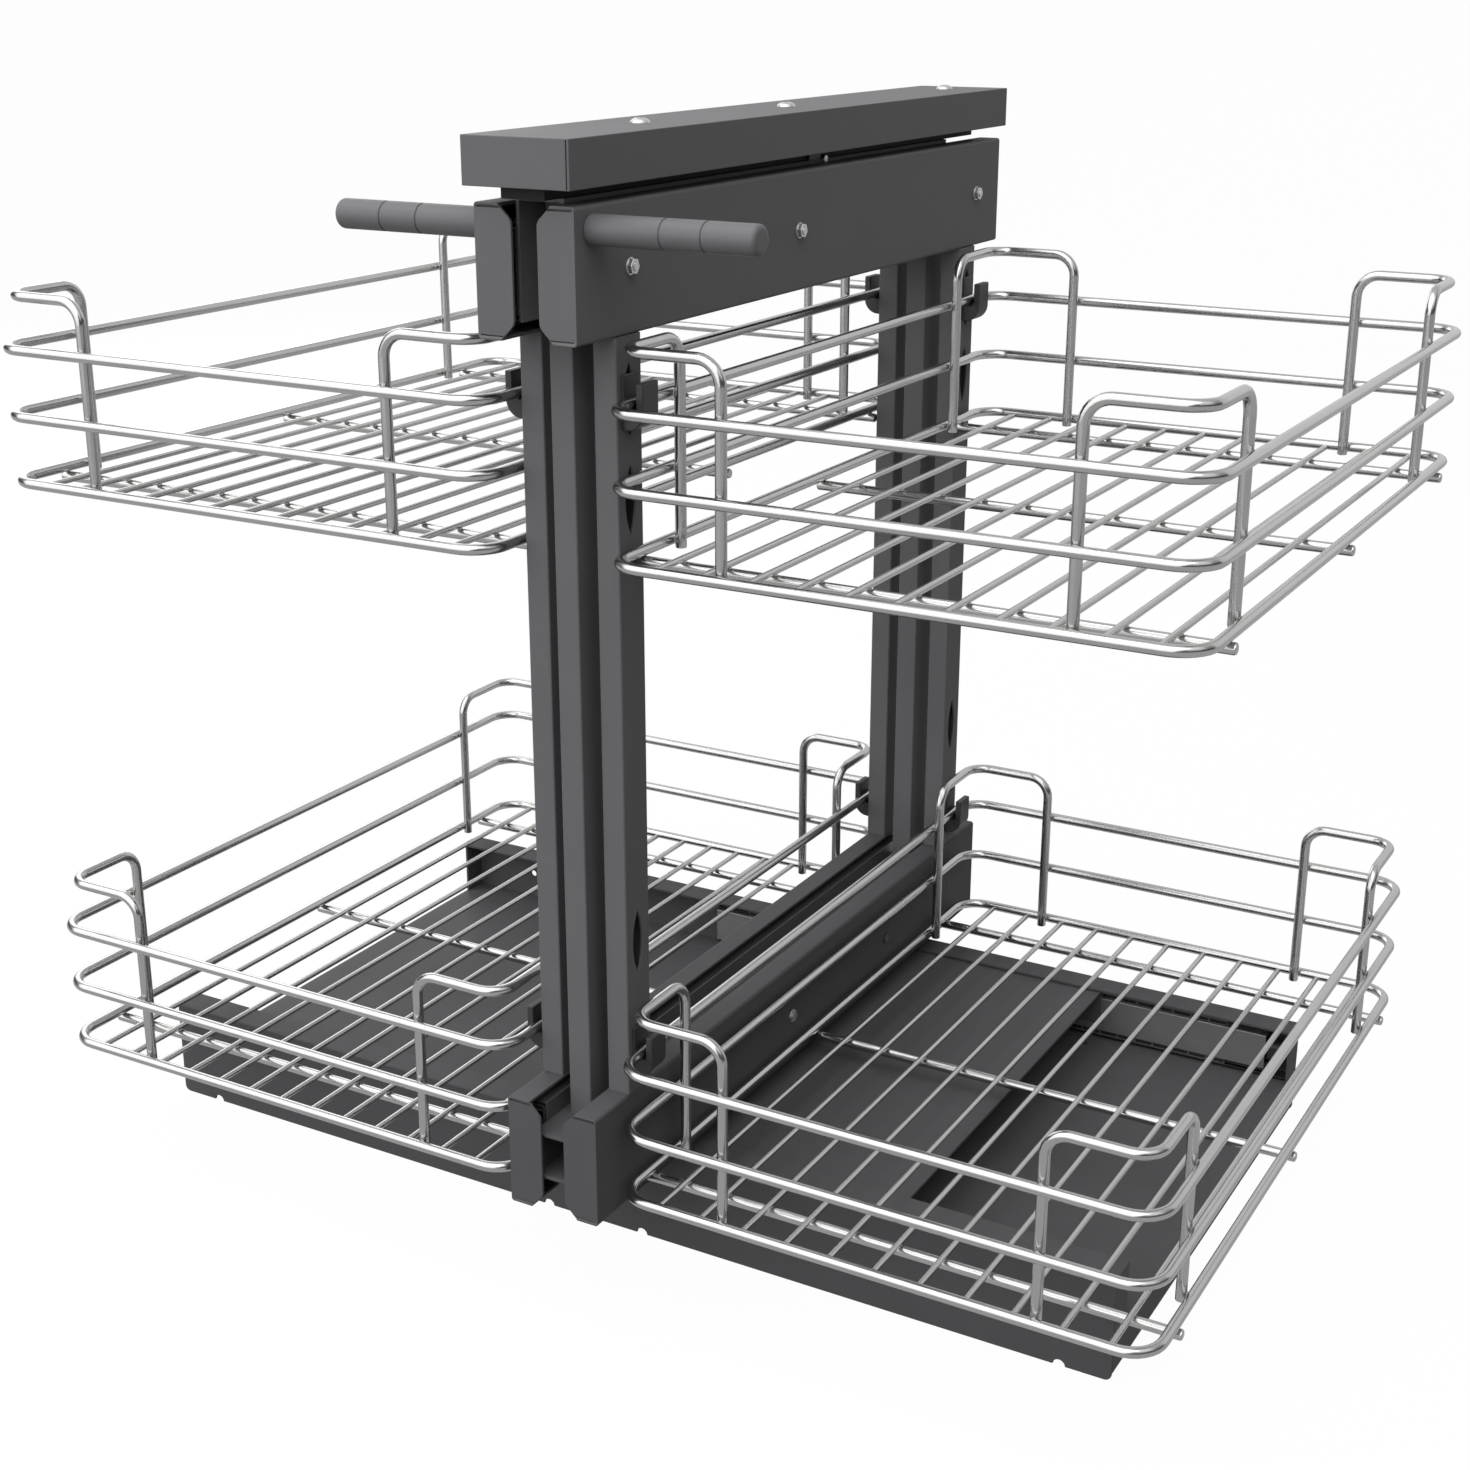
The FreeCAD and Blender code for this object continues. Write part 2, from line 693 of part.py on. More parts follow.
def centre_tube():
    """Square tube that carries the bottom slides; its front end is open."""
    half = size["post_half"]
    wall = size["post_wall"]
    body = bar_along_y(
        "centre_tube_body", POST,
        box_corners(-half, size["tube_bottom"], half, size["tube_top"]),
        TUBE_FRONT, size["beam_length"] - size["tube_rear"],
        box_corners(
            -half + wall, size["tube_bottom"] + wall, half - wall, size["tube_top"] - wall
        ),
    )
    return node("centre_tube", body)


def column(name, left, front, width, depth, low, high):
    """Upright rectangular tube with bevelled edges."""
    wall = size["column_wall"]
    body = body_at(name, POST)
    sketch = new_sketch(body, name + "Section", "XY_Plane", low)
    rectangle(sketch, left, front, left + width, front + depth)
    rectangle(sketch, left + wall, front + wall, left + width - wall, front + depth - wall)
    tube = pad(body, sketch, high - low)

    def outer_edge(edge):
        middle = edge.CenterOfMass
        across = near(middle.x, left) or near(middle.x, left + width)
        back = near(middle.y, front) or near(middle.y, front + depth)
        return runs_along(edge, ALONG_Z) and across and back

    bevel_edges(body, tube, size["column_bevel"], outer_edge)
    return body


def middle_columns():
    """Two columns between the centre tube and the top channel."""
    width = size["middle_column_width"]
    for name, front in (
        ("front_middle_column", size["middle_column_front"]),
        ("rear_middle_column", size["beam_length"] - size["middle_column_rear"]),
    ):
        body = column(
            name + "_body", -width / 2, front, width, size["middle_column_depth"],
            size["tube_top"], SPINE_BOTTOM - size["post_wall"],
        )
        node(name, body)


def top_channel():
    """Inverted channel that carries the top slides."""
    half = size["post_half"]
    wall = size["post_wall"]
    low = CHANNEL_BOTTOM
    high = SPINE_BOTTOM
    corners = [
        (-half, low),
        (-half + wall, low),
        (-half + wall, high - wall),
        (half - wall, high - wall),
        (half - wall, low),
        (half, low),
        (half, high),
        (-half, high),
    ]
    rear = size["beam_length"] - size["channel_rear"]
    body = bar_along_y("top_channel_body", POST, corners, size["channel_front"], rear)
    return node("top_channel", body)


def spine_bar():
    """Flat bar on the top channel that the cover is screwed to."""
    half = size["spine_half"]
    corners = box_corners(-half, SPINE_BOTTOM, half, COVER_BOTTOM)
    rear = size["beam_length"] - size["spine_rear"]
    body = bar_along_y("spine_bar_body", POST, corners, Size.of(0), rear)
    return node("spine_bar", body)


def top_cover():
    """Folded cover: closed sides and ends, and lower flanges that rest on the spine bar."""
    half = size["cover_half"]
    sheet = size["cover_sheet"]
    top = COVER_BOTTOM + size["cover_height"]
    front = -size["cover_front"]
    rear = size["beam_length"] + size["cover_rear"]
    body = body_at("top_cover_body", POST)
    outline = new_sketch(body, "CoverOutline", "XY_Plane", COVER_BOTTOM)
    rectangle(outline, -half, front, half, rear)
    block = pad(body, outline, size["cover_height"])
    bevel_edges(
        body, block, size["cover_bevel"],
        lambda edge: runs_along(edge, ALONG_Z) or near(edge.CenterOfMass.z, top),
    )
    hollow = new_sketch(body, "CoverHollow", "XY_Plane", COVER_BOTTOM + sheet)
    rectangle(hollow, -half + sheet, front + sheet, half - sheet, rear - sheet)
    pocket(body, hollow, size["cover_height"] - sheet * 2, reverse=True)
    slot = new_sketch(body, "CoverSlot", "XY_Plane", COVER_BOTTOM)
    gap = size["cover_slot_half"]
    rectangle(slot, -gap, front + sheet * 2, gap, rear - sheet * 2)
    pocket(body, slot, sheet * 1.5, reverse=True)
    return node("top_cover", body)


def screw_head(name, back):
    """Screw head that stands on the cover, round in twelve flat sides."""
    head = doc.addObject("Part::Prism", name)
    head.Polygon = HEAD_SIDES
    head.setExpression("Circumradius", (size["screw_head"] / 2).text)
    head.setExpression("Height", size["screw_head_height"].text)
    place(head, in_post(0, back, COVER_BOTTOM + size["cover_height"]))
    return head


def cover_screws():
    """The three screws in a row that hold the cover on the spine bar."""
    rear = size["beam_length"]
    grouped("cover_screws", [
        screw_head("front_cover_screw", size["screw_front"]),
        screw_head("middle_cover_screw", rear - size["screw_middle"]),
        screw_head("rear_cover_screw", rear - size["screw_rear"]),
    ])


# Frame slides, drawn on the right and mirrored to the left

def slide_rail(name, step, middle):
    """One member of a right-hand frame slide: 0 outer, 1 middle, 2 inner."""
    wall = size["slide_wall"]
    gap = size["slide_side_gap"]
    shrink = (wall + size["slide_race"]) * step
    low = middle - size["slide_height"] / 2 + shrink
    high = middle + size["slide_height"] / 2 - shrink
    web = size["post_half"] + (wall + gap) * step
    tip = BEAM_INNER - wall - gap
    if step == 2:
        web = BEAM_INNER
        tip = size["post_half"] + (wall + gap) * 2
        corners = c_section(web, web - wall, tip, low, high, wall)
    else:
        corners = c_section(web, web + wall, tip, low, high, wall)
    rear = size["beam_length"] - size["slide_rear"]
    return bar_along_y(name, POST, corners, size["slide_front"], rear)


def pair_node(stem, body):
    """A right-hand piece and its mirror image on the left."""
    node("right_" + stem, body)
    mirrored("left_" + stem, body, ALONG_X, POST[0])


def frame_slides():
    """Four slides between the post frame and the beams."""
    high = size["top_beam_bottom"] + size["slide_high"]
    for level, middle in (("bottom", size["slide_low"]), ("top", high)):
        for step, kind in enumerate(("outer", "middle", "inner")):
            stem = f"{level}_{kind}_rail"
            pair_node(stem, slide_rail(stem + "_body", step, middle))


# Frames, drawn on the right and mirrored to the left

def beam(stem, low):
    """C beam along Y with a front plate whose inner corners are cut."""
    high = low + size["beam_height"]
    web = size["beam_outer"]
    sheet = size["beam_sheet"]
    body = body_at(stem + "_body", POST)
    section = new_sketch(body, stem + "Section", "XZ_Plane")
    polygon(section, c_section(web, BEAM_INNER, FLANGE_TIP, low, high, sheet))
    pad(body, section, size["beam_length"], reverse=True)
    front = new_sketch(body, stem + "Front", "XZ_Plane")
    inner = size["front_plate_inner"]
    cut = size["front_plate_chamfer"]
    polygon(front, [
        (inner, low + cut),
        (inner + cut, low),
        (web, low),
        (web, high),
        (inner + cut, high),
        (inner, high - cut),
    ])
    front_pad = pad(body, front, sheet, reverse=True)
    round_edges(
        body, front_pad, size["beam_round"],
        lambda edge: runs_along(edge, ALONG_Y) and near(edge.CenterOfMass.x, web),
    )
    return pair_node(stem, body)


def lens_slots(body, name, face, back, levels):
    """Lens-shaped slots through the outer wall of a column, each of two arcs."""
    half = size["slot_length"] / 2
    rise = size["slot_width"] / 2
    radius = (half * half + rise * rise) / (rise * 2)
    reach = math.asin(half.value / radius.value)
    sketch = new_sketch(body, name, "YZ_Plane", face)
    for level in levels:
        arcs = []
        for turn, start in ((1, -reach), (-1, math.pi - reach)):
            middle = FreeCAD.Vector((back - (radius - rise) * turn).value, level.value, 0)
            whole = Part.Circle(middle, FreeCAD.Vector(0, 0, 1), radius.value)
            arcs.append(sketch.addGeometry(Part.ArcOfCircle(whole, start, start + 2 * reach)))
        sketch.addConstraint(Sketcher.Constraint("Coincident", arcs[0], 2, arcs[1], 1))
        sketch.addConstraint(Sketcher.Constraint("Coincident", arcs[1], 2, arcs[0], 1))
        fix_point(sketch, arcs[0], 1, (back, level - half))
        fix_point(sketch, arcs[0], 2, (back, level + half))
        for arc in arcs:
            bound(sketch, Sketcher.Constraint("Radius", arc, radius.value), radius)
    pocket(body, sketch, size["column_wall"] * 2)


def hook_levels():
    """Heights of the rails that rest in the lower and upper hooks."""
    return RING_TOP, RING_TOP + size["basket_rise"]


def frame_columns():
    """Front and rear columns between the beams, with slots for the hooks."""
    width = size["column_width"]
    face = size["beam_outer"]
    low_rail, high_rail = hook_levels()
    levels = (
        low_rail + size["hook_slot_lift"],
        low_rail + size["spare_slot_low"],
        high_rail - size["spare_slot_high"],
        high_rail + size["hook_slot_lift"],
    )
    for stem, back in column_places():
        body = column(
            stem + "_column_body", face - width, back - size["column_depth"] / 2,
            width, size["column_depth"], COLUMN_FOOT, size["top_beam_bottom"],
        )
        lens_slots(body, stem + "Slots", face, back, levels)
        pair_node(stem + "_column", body)


def column_places():
    """Middle of the front and rear columns along Y."""
    inset = size["column_inset"]
    return ("front", inset), ("rear", size["beam_length"] - inset)


def handle():
    """Round handle with two grip grooves and a bevelled end, turned about its own axis."""
    radius = size["handle_diameter"] / 2
    end = size["handle_end"]
    crown = size["handle_crown"]
    start = size["beam_outer"]
    corners = [(start, 0), (start, radius)]
    for groove in ("groove_near", "groove_far"):
        half = size["groove_width"] / 2
        corners += [
            (size[groove] - half, radius),
            (size[groove], radius - size["groove_depth"]),
            (size[groove] + half, radius),
        ]
    corners += [
        (end - crown, radius),
        (end, radius - crown),
        (end, 0),
    ]
    beam_top = size["top_beam_bottom"] + size["beam_height"]
    body = body_at("handle_body", (
        POST[0], POST[1] + size["handle_inset"], POST[2] + beam_top - size["handle_drop"],
    ))
    profile = new_sketch(body, "HandleProfile", "XZ_Plane")
    polygon(profile, corners)
    turned = body.newObject("PartDesign::Revolution", "HandleTurned")
    turned.Profile = profile
    turned.ReferenceAxis = (profile, ["H_Axis"])
    turned.Angle = 360
    return pair_node("handle", body)


def hook(name, back, level):
    """J-shaped hook on a column's outer face, with a nose in the slot."""
    face = size["beam_outer"]
    wire = size["ring_wire"] / 2
    seat = level - wire - size["hook_seat_gap"]
    plate = face + size["hook_back"]
    prong = size["ring_inner"] + wire + size["hook_prong_gap"]
    outer = prong + size["hook_prong"]
    bottom = level - size["hook_drop"]
    tip = level + size["hook_prong_top"]
    seat_cut = size["hook_seat_cut"]
    tip_cut = size["hook_tip_cut"]
    middle = -back
    body = body_at(name, POST)
    profile = new_sketch(body, name + "Profile", "XZ_Plane", middle)
    polygon(profile, [
        (face, bottom),
        (outer, bottom),
        (outer, tip - tip_cut),
        (outer - tip_cut, tip),
        (prong + tip_cut, tip),
        (prong, tip - tip_cut),
        (prong, seat + seat_cut),
        (prong - seat_cut, seat),
        (plate + seat_cut, seat),
        (plate, seat + seat_cut),
        (plate, level + size["hook_back_top"]),
        (face, level + size["hook_back_top"]),
    ])
    shank = pad(body, profile, size["hook_width"], both_ways=True)

    def lower_corner(edge):
        at = edge.CenterOfMass
        return runs_along(edge, ALONG_Y) and near(at.x, outer) and near(at.z, bottom)

    round_edges(body, shank, size["hook_corner"], lower_corner)
    nose = new_sketch(body, name + "Nose", "XZ_Plane", middle)
    low = level + size["hook_slot_lift"]
    rectangle(nose, face - size["hook_nose"], low, face, low + size["hook_nose_height"])
    pad(body, nose, size["hook_nose_width"], both_ways=True)
    return body


def hooks():
    """Lower and upper pairs of hooks on the right frame and their images on the left."""
    for pair, level in zip(("lower", "upper"), hook_levels()):
        pieces = [
            hook(f"{pair}_{stem}_hook", back, level) for stem, back in column_places()
        ]
        group = grouped(f"right_{pair}_hooks", pieces)
        mirrored(f"left_{pair}_hooks", group, ALONG_X, POST[0])


# Baskets

def in_post(across, back, up):
    """A place of the post frame in the base's coordinates."""
    return POST[0] + across, POST[1] + back, POST[2] + up


def ring(name, left, front, right, rear, level):
    """Closed rectangular wire ring with bent corners, swept along a sketch."""
    corner = size["ring_corner"]
    spine = doc.addObject("Sketcher::SketchObject", name + "Spine")
    place(spine, in_post(Size.of(0), Size.of(0), level))
    turns = (
        ((right, front), (-1, 1)),
        ((right, rear), (-1, -1)),
        ((left, rear), (1, -1)),
        ((left, front), (1, 1)),
    )
    corners = []
    for index, ((across, back), (inward_x, inward_y)) in enumerate(turns):
        for run in range(BEND_RUNS + 1):
            angle = math.pi / 2 * (index - 1 + run / BEND_RUNS)
            corners.append((
                across + corner * (inward_x + math.cos(angle)),
                back + corner * (inward_y + math.sin(angle)),
            ))
    polygon(spine, corners)
    section = doc.addObject("Part::RegularPolygon", name + "Section")
    section.Polygon = WIRE_SIDES
    section.setExpression("Circumradius", (size["ring_wire"] / 2).text)
    section.Placement.Rotation = FreeCAD.Rotation(ALONG_Y, 90)
    place(section, in_post((left + right) / 2, front, level))
    sweep = doc.addObject("Part::Sweep", name)
    sweep.Sections = [section]
    sweep.Spine = (spine, [f"Edge{index + 1}" for index in range(len(corners))])
    sweep.Solid = True
    sweep.Frenet = False
    sweep.Transition = TURN_KINDS[1]
    return sweep


def bent_path(points, radii):
    """A wire through points that takes each turn of the given radius in a few short runs."""
    corners = [points[0]]
    for before, point, after, radius in zip(points, points[1:], points[2:], radii):
        arriving = (point - before).normalize()
        leaving = (after - point).normalize()
        centre = point - arriving * radius + leaving * radius
        for run in range(BEND_RUNS + 1):
            angle = math.pi / 2 * run / BEND_RUNS
            corners.append(
                centre - leaving * (radius * math.cos(angle)) + arriving * (radius * math.sin(angle))
            )
    return Part.makePolygon(corners + [points[-1]])


def corner_loop(corner_x, corner_y, inward_x, inward_y, reach, rise):
    """Wire that climbs one wall, turns the basket's corner above the rings and comes down."""
    inset = size["ring_wire"] + size["weld_gap"]
    across = (corner_x + inset * inward_x).value
    back = (corner_y + inset * inward_y).value
    far_across = (corner_x + reach * inward_x).value
    far_back = (corner_y + reach * inward_y).value
    foot = (size["loop_foot"] + rise).value
    top = (size["loop_top"] + rise).value
    points = [
        FreeCAD.Vector(far_across, back, foot),
        FreeCAD.Vector(far_across, back, top),
        FreeCAD.Vector(across, back, top),
        FreeCAD.Vector(across, far_back, top),
        FreeCAD.Vector(across, far_back, foot),
    ]
    bend = size["loop_bend"].value
    path = bent_path(points, (bend, size["loop_corner"].value, bend))
    radius = size["ring_wire"].value / 2
    rim = [
        points[0] + FreeCAD.Vector(
            radius * math.cos(2 * math.pi * side / WIRE_SIDES),
            radius * math.sin(2 * math.pi * side / WIRE_SIDES),
            0,
        )
        for side in range(WIRE_SIDES)
    ]
    section = Part.makePolygon(rim + rim[:1])
    mitred = TURN_KINDS.index("Right corner")
    return path.makePipeShell([section], True, False, mitred)


def corner_loops(name, left, front, right, rear, rise, inner_side):
    """The four corner loops of one basket."""
    loops = []
    for across, inward_x in ((left, 1), (right, -1)):
        reach = size["loop_reach_inner" if inward_x == inner_side else "loop_reach_outer"]
        for back, inward_y in ((front, 1), (rear, -1)):
            loops.append(corner_loop(across, back, inward_x, inward_y, reach, rise))
    item = doc.addObject("Part::Feature", name)
    item.Shape = Part.makeCompound(loops)
    place(item, POST)
    return node(name, item)


def straight_wire(name, diameter, where, length, axis):
    """A straight wire from a place along an axis."""
    wire = doc.addObject("Part::Prism", name)
    wire.Polygon = WIRE_SIDES
    wire.setExpression("Circumradius", (diameter / 2).text)
    wire.setExpression("Height", length.text)
    turn = FreeCAD.Rotation(ALONG_Y, 90) if axis == ALONG_X else FreeCAD.Rotation(ALONG_X, -90)
    wire.Placement.Rotation = turn
    place(wire, in_post(*where))
    return wire


def floor_grid(name, left, front, right, rear, rise, side, first, pitch, count):
    """Thin floor wires from front rail to rear rail, on three cross wires."""
    ring_level = size["ring_low"] + rise
    half_rail = size["ring_wire"] / 2 + size["weld_gap"]
    cross_level = ring_level - size["ring_wire"] / 2 - size["cross_wire"] / 2 - size["weld_gap"]
    floor_level = cross_level + (size["cross_wire"] + size["floor_wire"]) / 2 + size["weld_gap"]
    wires = []
    for index in range(count):
        where = ((first + pitch * index) * side, front + half_rail, floor_level)
        length = rear - front - half_rail * 2
        wires.append(straight_wire(
            f"{name}_wire_{index + 1}", size["floor_wire"], where, length, ALONG_Y
        ))
    inner_end = size["beam_outer"] + size["cross_stand_off"]
    if side > 0:
        start = inner_end
        end = right + size["cross_overrun"]
    else:
        start = left - size["cross_overrun"]
        end = -inner_end
    for place_name, back in (
        ("cross_front", size["cross_front"]),
        ("cross_middle", size["beam_length"] / 2 - size["cross_middle"]),
        ("cross_rear", size["beam_length"] - size["cross_rear"]),
    ):
        wires.append(straight_wire(
            f"{name}_{place_name}", size["cross_wire"], (start, back, cross_level),
            end - start, ALONG_X,
        ))
    return grouped(name, wires)


def basket(side_name, level_name):
    """One wire basket: three rings, four corner loops and the floor grid."""
    rise = size["basket_rise"] if level_name == "upper" else Size.of(0)
    rear = RING_REAR
    if side_name == "right":
        left = size["ring_inner"]
        right = size["right_outer"]
        front = size["right_front"]
        side = 1
        floor = (size["right_wire_first"], size["right_wire_pitch"], RIGHT_WIRE_COUNT)
    else:
        left = -size["left_outer"]
        right = -size["ring_inner"]
        front = size["left_front"]
        side = -1
        floor = (size["left_wire_first"], size["left_wire_pitch"], LEFT_WIRE_COUNT)
    stem = f"{side_name}_{level_name}_basket"
    rings = []
    for index in range(3):
        level = size["ring_low"] + rise + size["ring_pitch"] * index
        rings.append(ring(f"{stem}_ring_{index + 1}", left, front, right, rear, level))
    grouped(stem + "_rings", rings)
    corner_loops(stem + "_corner_loops", left, front, right, rear, rise, side)
    floor_grid(stem + "_floor_grid", left, front, right, rear, rise, side, *floor)


def build():
    """Makes every sub-part."""
    floor_pan()
    base_channel("base_front_channel", -1)
    base_channel("base_rear_channel", 1)
    lateral_slides()
    carriage_plate()
    saddles()
    centre_tube()
    middle_columns()
    top_channel()
    spine_bar()
    top_cover()
    cover_screws()
    frame_slides()
    beam("bottom_beam", Size.of(0))
    beam("top_beam", size["top_beam_bottom"])
    frame_columns()
    handle()
    hooks()
    for side_name in ("left", "right"):
        for level_name in ("lower", "upper"):
            basket(side_name, level_name)


def check_and_export():
    """Stops on any failed object, then writes one STEP file for each sub-part."""
    doc.recompute()
    for item in doc.Objects:
        if "Invalid" in item.State or "Error" in item.State:
            raise RuntimeError(f"{item.Label} failed: {item.State}")
    for item in nodes:
        if item.Shape.isNull() or not item.Shape.isValid() or not item.Shape.Solids:
            raise RuntimeError(f"{item.Label} has no valid solid")
    os.makedirs("parts", exist_ok=True)
    for item in nodes:
        item.Shape.exportStep(f"parts/{item.Label}.step")
        print(item.Label, len(item.Shape.Solids), round(item.Shape.Volume, 1))
    print(len(nodes), "nodes")


build()
check_and_export()
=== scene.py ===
"""Looks of a blind corner organizer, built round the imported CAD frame.

Sizes are millimetres in the post frame, whose zero is the middle plane of the post, the front face
of the beams and the underside of the bottom beams. Pieces of the base use the base's own zero.
Meshes are made in metres in the frame's coordinates: +X right along the cabinet, +Y to its back,
+Z up.
"""

import functools
import logging
import math
from collections.abc import Callable, Iterable, Mapping, Sequence
from dataclasses import dataclass, replace
from enum import Enum
from typing import ClassVar

import bmesh
import bpy
from mathutils import Matrix, Vector


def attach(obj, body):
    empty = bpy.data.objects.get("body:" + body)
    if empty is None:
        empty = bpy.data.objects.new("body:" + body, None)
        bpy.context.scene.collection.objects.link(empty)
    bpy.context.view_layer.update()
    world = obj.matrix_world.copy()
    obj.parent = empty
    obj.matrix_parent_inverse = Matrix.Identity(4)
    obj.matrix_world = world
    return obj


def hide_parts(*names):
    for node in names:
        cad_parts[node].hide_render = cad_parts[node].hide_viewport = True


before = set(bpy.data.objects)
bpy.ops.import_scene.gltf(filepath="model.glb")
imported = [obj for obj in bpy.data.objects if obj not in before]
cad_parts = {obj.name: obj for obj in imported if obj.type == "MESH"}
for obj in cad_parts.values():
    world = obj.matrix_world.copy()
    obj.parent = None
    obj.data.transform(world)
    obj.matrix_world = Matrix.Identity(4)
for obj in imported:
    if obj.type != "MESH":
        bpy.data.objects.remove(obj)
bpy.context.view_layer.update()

LOG = logging.getLogger("organizer")
MM = 0.001
RIGHT = Vector((1, 0, 0))
BACK = Vector((0, 1, 0))
UP = Vector((0, 0, 1))
QUARTER_TURN = math.pi / 2
FULL_TURN = 2 * math.pi
SHARP_EDGE = math.radians(42)
CAD_EDGE = math.radians(25)
FLAT = math.radians(1)
WELDED = 1e-6
FACING = 0.99
MARGIN = 1.0
SHEET_EDGE = 0.35

# Numbers of a Mix node's colour sockets
COLOUR_SHARE = 0
COLOUR_A = 6
COLOUR_B = 7
COLOUR_MIXED = 2

Number = "Signal | float"


class Origin(Enum):
    """Zero points that sizes are counted from, in millimetres of the frame."""

    POST = (37.25, -266.0, 66.5)
    BASE = (0.0, 0.0, 0.0)

    def at(self, across: float, back: float, up: float) -> Vector:
        """A place in metres of the frame."""
        return (Vector(self.value) + Vector((across, back, up))) * MM


class Side(Enum):
    """The two pull-out sides, with their direction from the post."""

    LEFT = -1
    RIGHT = 1

    @property
    def word(self) -> str:
        """The side's name as the CAD nodes write it."""
        return self.name.lower()


class Level(Enum):
    """The two basket levels, with their height above the lower one."""

    LOWER = 0.0
    UPPER = 355.2

    @property
    def word(self) -> str:
        """The level's name as the CAD nodes write it."""
        return self.name.lower()


class Slot(Enum):
    """Material slots of the record."""

    POWDER = "powder_coat"
    STEEL = "slide_steel"
    PLASTIC = "black_plastic"
    WIRE = "wire_chrome"


# Shaders


class Signal:
    """A shader output that takes part in sums as a number does."""

    def __init__(self, shader: "Shader", socket: bpy.types.NodeSocket) -> None:
        """Wraps an output socket of a shader."""
        self.shader = shader
        self.socket = socket

    def _math(self, operation: str, other: Number) -> "Signal":
        """Adds a Math node for one operation with another value."""
        return self.shader.node("ShaderNodeMath", {"operation": operation}, {0: self, 1: other})(0)

    def __add__(self, other: Number) -> "Signal":
        """self + other."""
        return self._math("ADD", other)

    def __mul__(self, other: Number) -> "Signal":
        """self * other."""
        return self._math("MULTIPLY", other)

    __radd__ = __add__
    __rmul__ = __mul__


class Shader:
    """A node tree that is filled node by node."""

    def __init__(self, tree: bpy.types.NodeTree) -> None:
        """Empties the tree of a material or world."""
        self.tree = tree
        tree.nodes.clear()

    def node(
        self,
        kind: str,
        settings: Mapping[str, object] | None = None,
        inputs: Mapping[str | int, object] | None = None,
    ) -> Callable[[str | int], Signal]:
        """Adds one node.

        Args:
            kind: The node's type name.
            settings: Its own settings, set before its sockets; "stops" sets a ramp's colours.
            inputs: Values or signals for its sockets, by name or number.

        Returns:
            A function that gives the node's output of a name or number.
        """
        made = self.tree.nodes.new(kind)
        for name, value in (settings or {}).items():
            if name == "stops":
                self._stops(made.color_ramp, value)
            else:
                setattr(made, name, value)
        for name, value in (inputs or {}).items():
            socket = made.inputs[name]
            if isinstance(value, Signal):
                self.tree.links.new(value.socket, socket)
            else:
                socket.default_value = value
        return lambda name: Signal(self, made.outputs[name])

    @staticmethod
    def _stops(ramp: bpy.types.ColorRamp, stops: Sequence[tuple[float, float]]) -> None:
        """Sets a ramp's grey stops.

        Args:
            ramp: The ramp of a Color Ramp node.
            stops: Pairs of position and grey value.
        """
        while len(ramp.elements) < len(stops):
            ramp.elements.new(1.0)
        for element, (position, grey) in zip(ramp.elements, stops):
            element.position = position
            element.color = (grey, grey, grey, 1.0)

    def noise(
        self, size: float, detail: float = 2.0, stretch: Sequence[float] = (1, 1, 1)
    ) -> Signal:
        """Noise with features of a real size.

        Args:
            size: Size of a feature in millimetres.
            detail: Finer octaves on top.
            stretch: Share of the scale along each axis; under 1 draws the pattern out.

        Returns:
            The noise, about 0.5 on average.
        """
        place = self.node("ShaderNodeTexCoord")("Object")
        spread = self.node("ShaderNodeMapping", None, {"Vector": place, "Scale": tuple(stretch)})
        scale = 1 / (size * MM)
        return self.node(
            "ShaderNodeTexNoise", None,
            {"Vector": spread("Vector"), "Scale": scale, "Detail": detail},
        )("Fac")

    def blend(self, share: Number, dark: Sequence[float], light: Sequence[float]) -> Signal:
        """A colour between two colours."""
        return self.node(
            "ShaderNodeMix", {"data_type": "RGBA"},
            {COLOUR_SHARE: share, COLOUR_A: (*dark, 1.0), COLOUR_B: (*light, 1.0)},
        )(COLOUR_MIXED)

    def bump(self, height: Signal, strength: float, depth: float) -> Signal:
        """A normal that follows a height, whose full step is a depth in millimetres."""
        return self.node(
            "ShaderNodeBump", None, {"Height": height, "Strength": strength, "Distance": depth * MM}
        )("Normal")


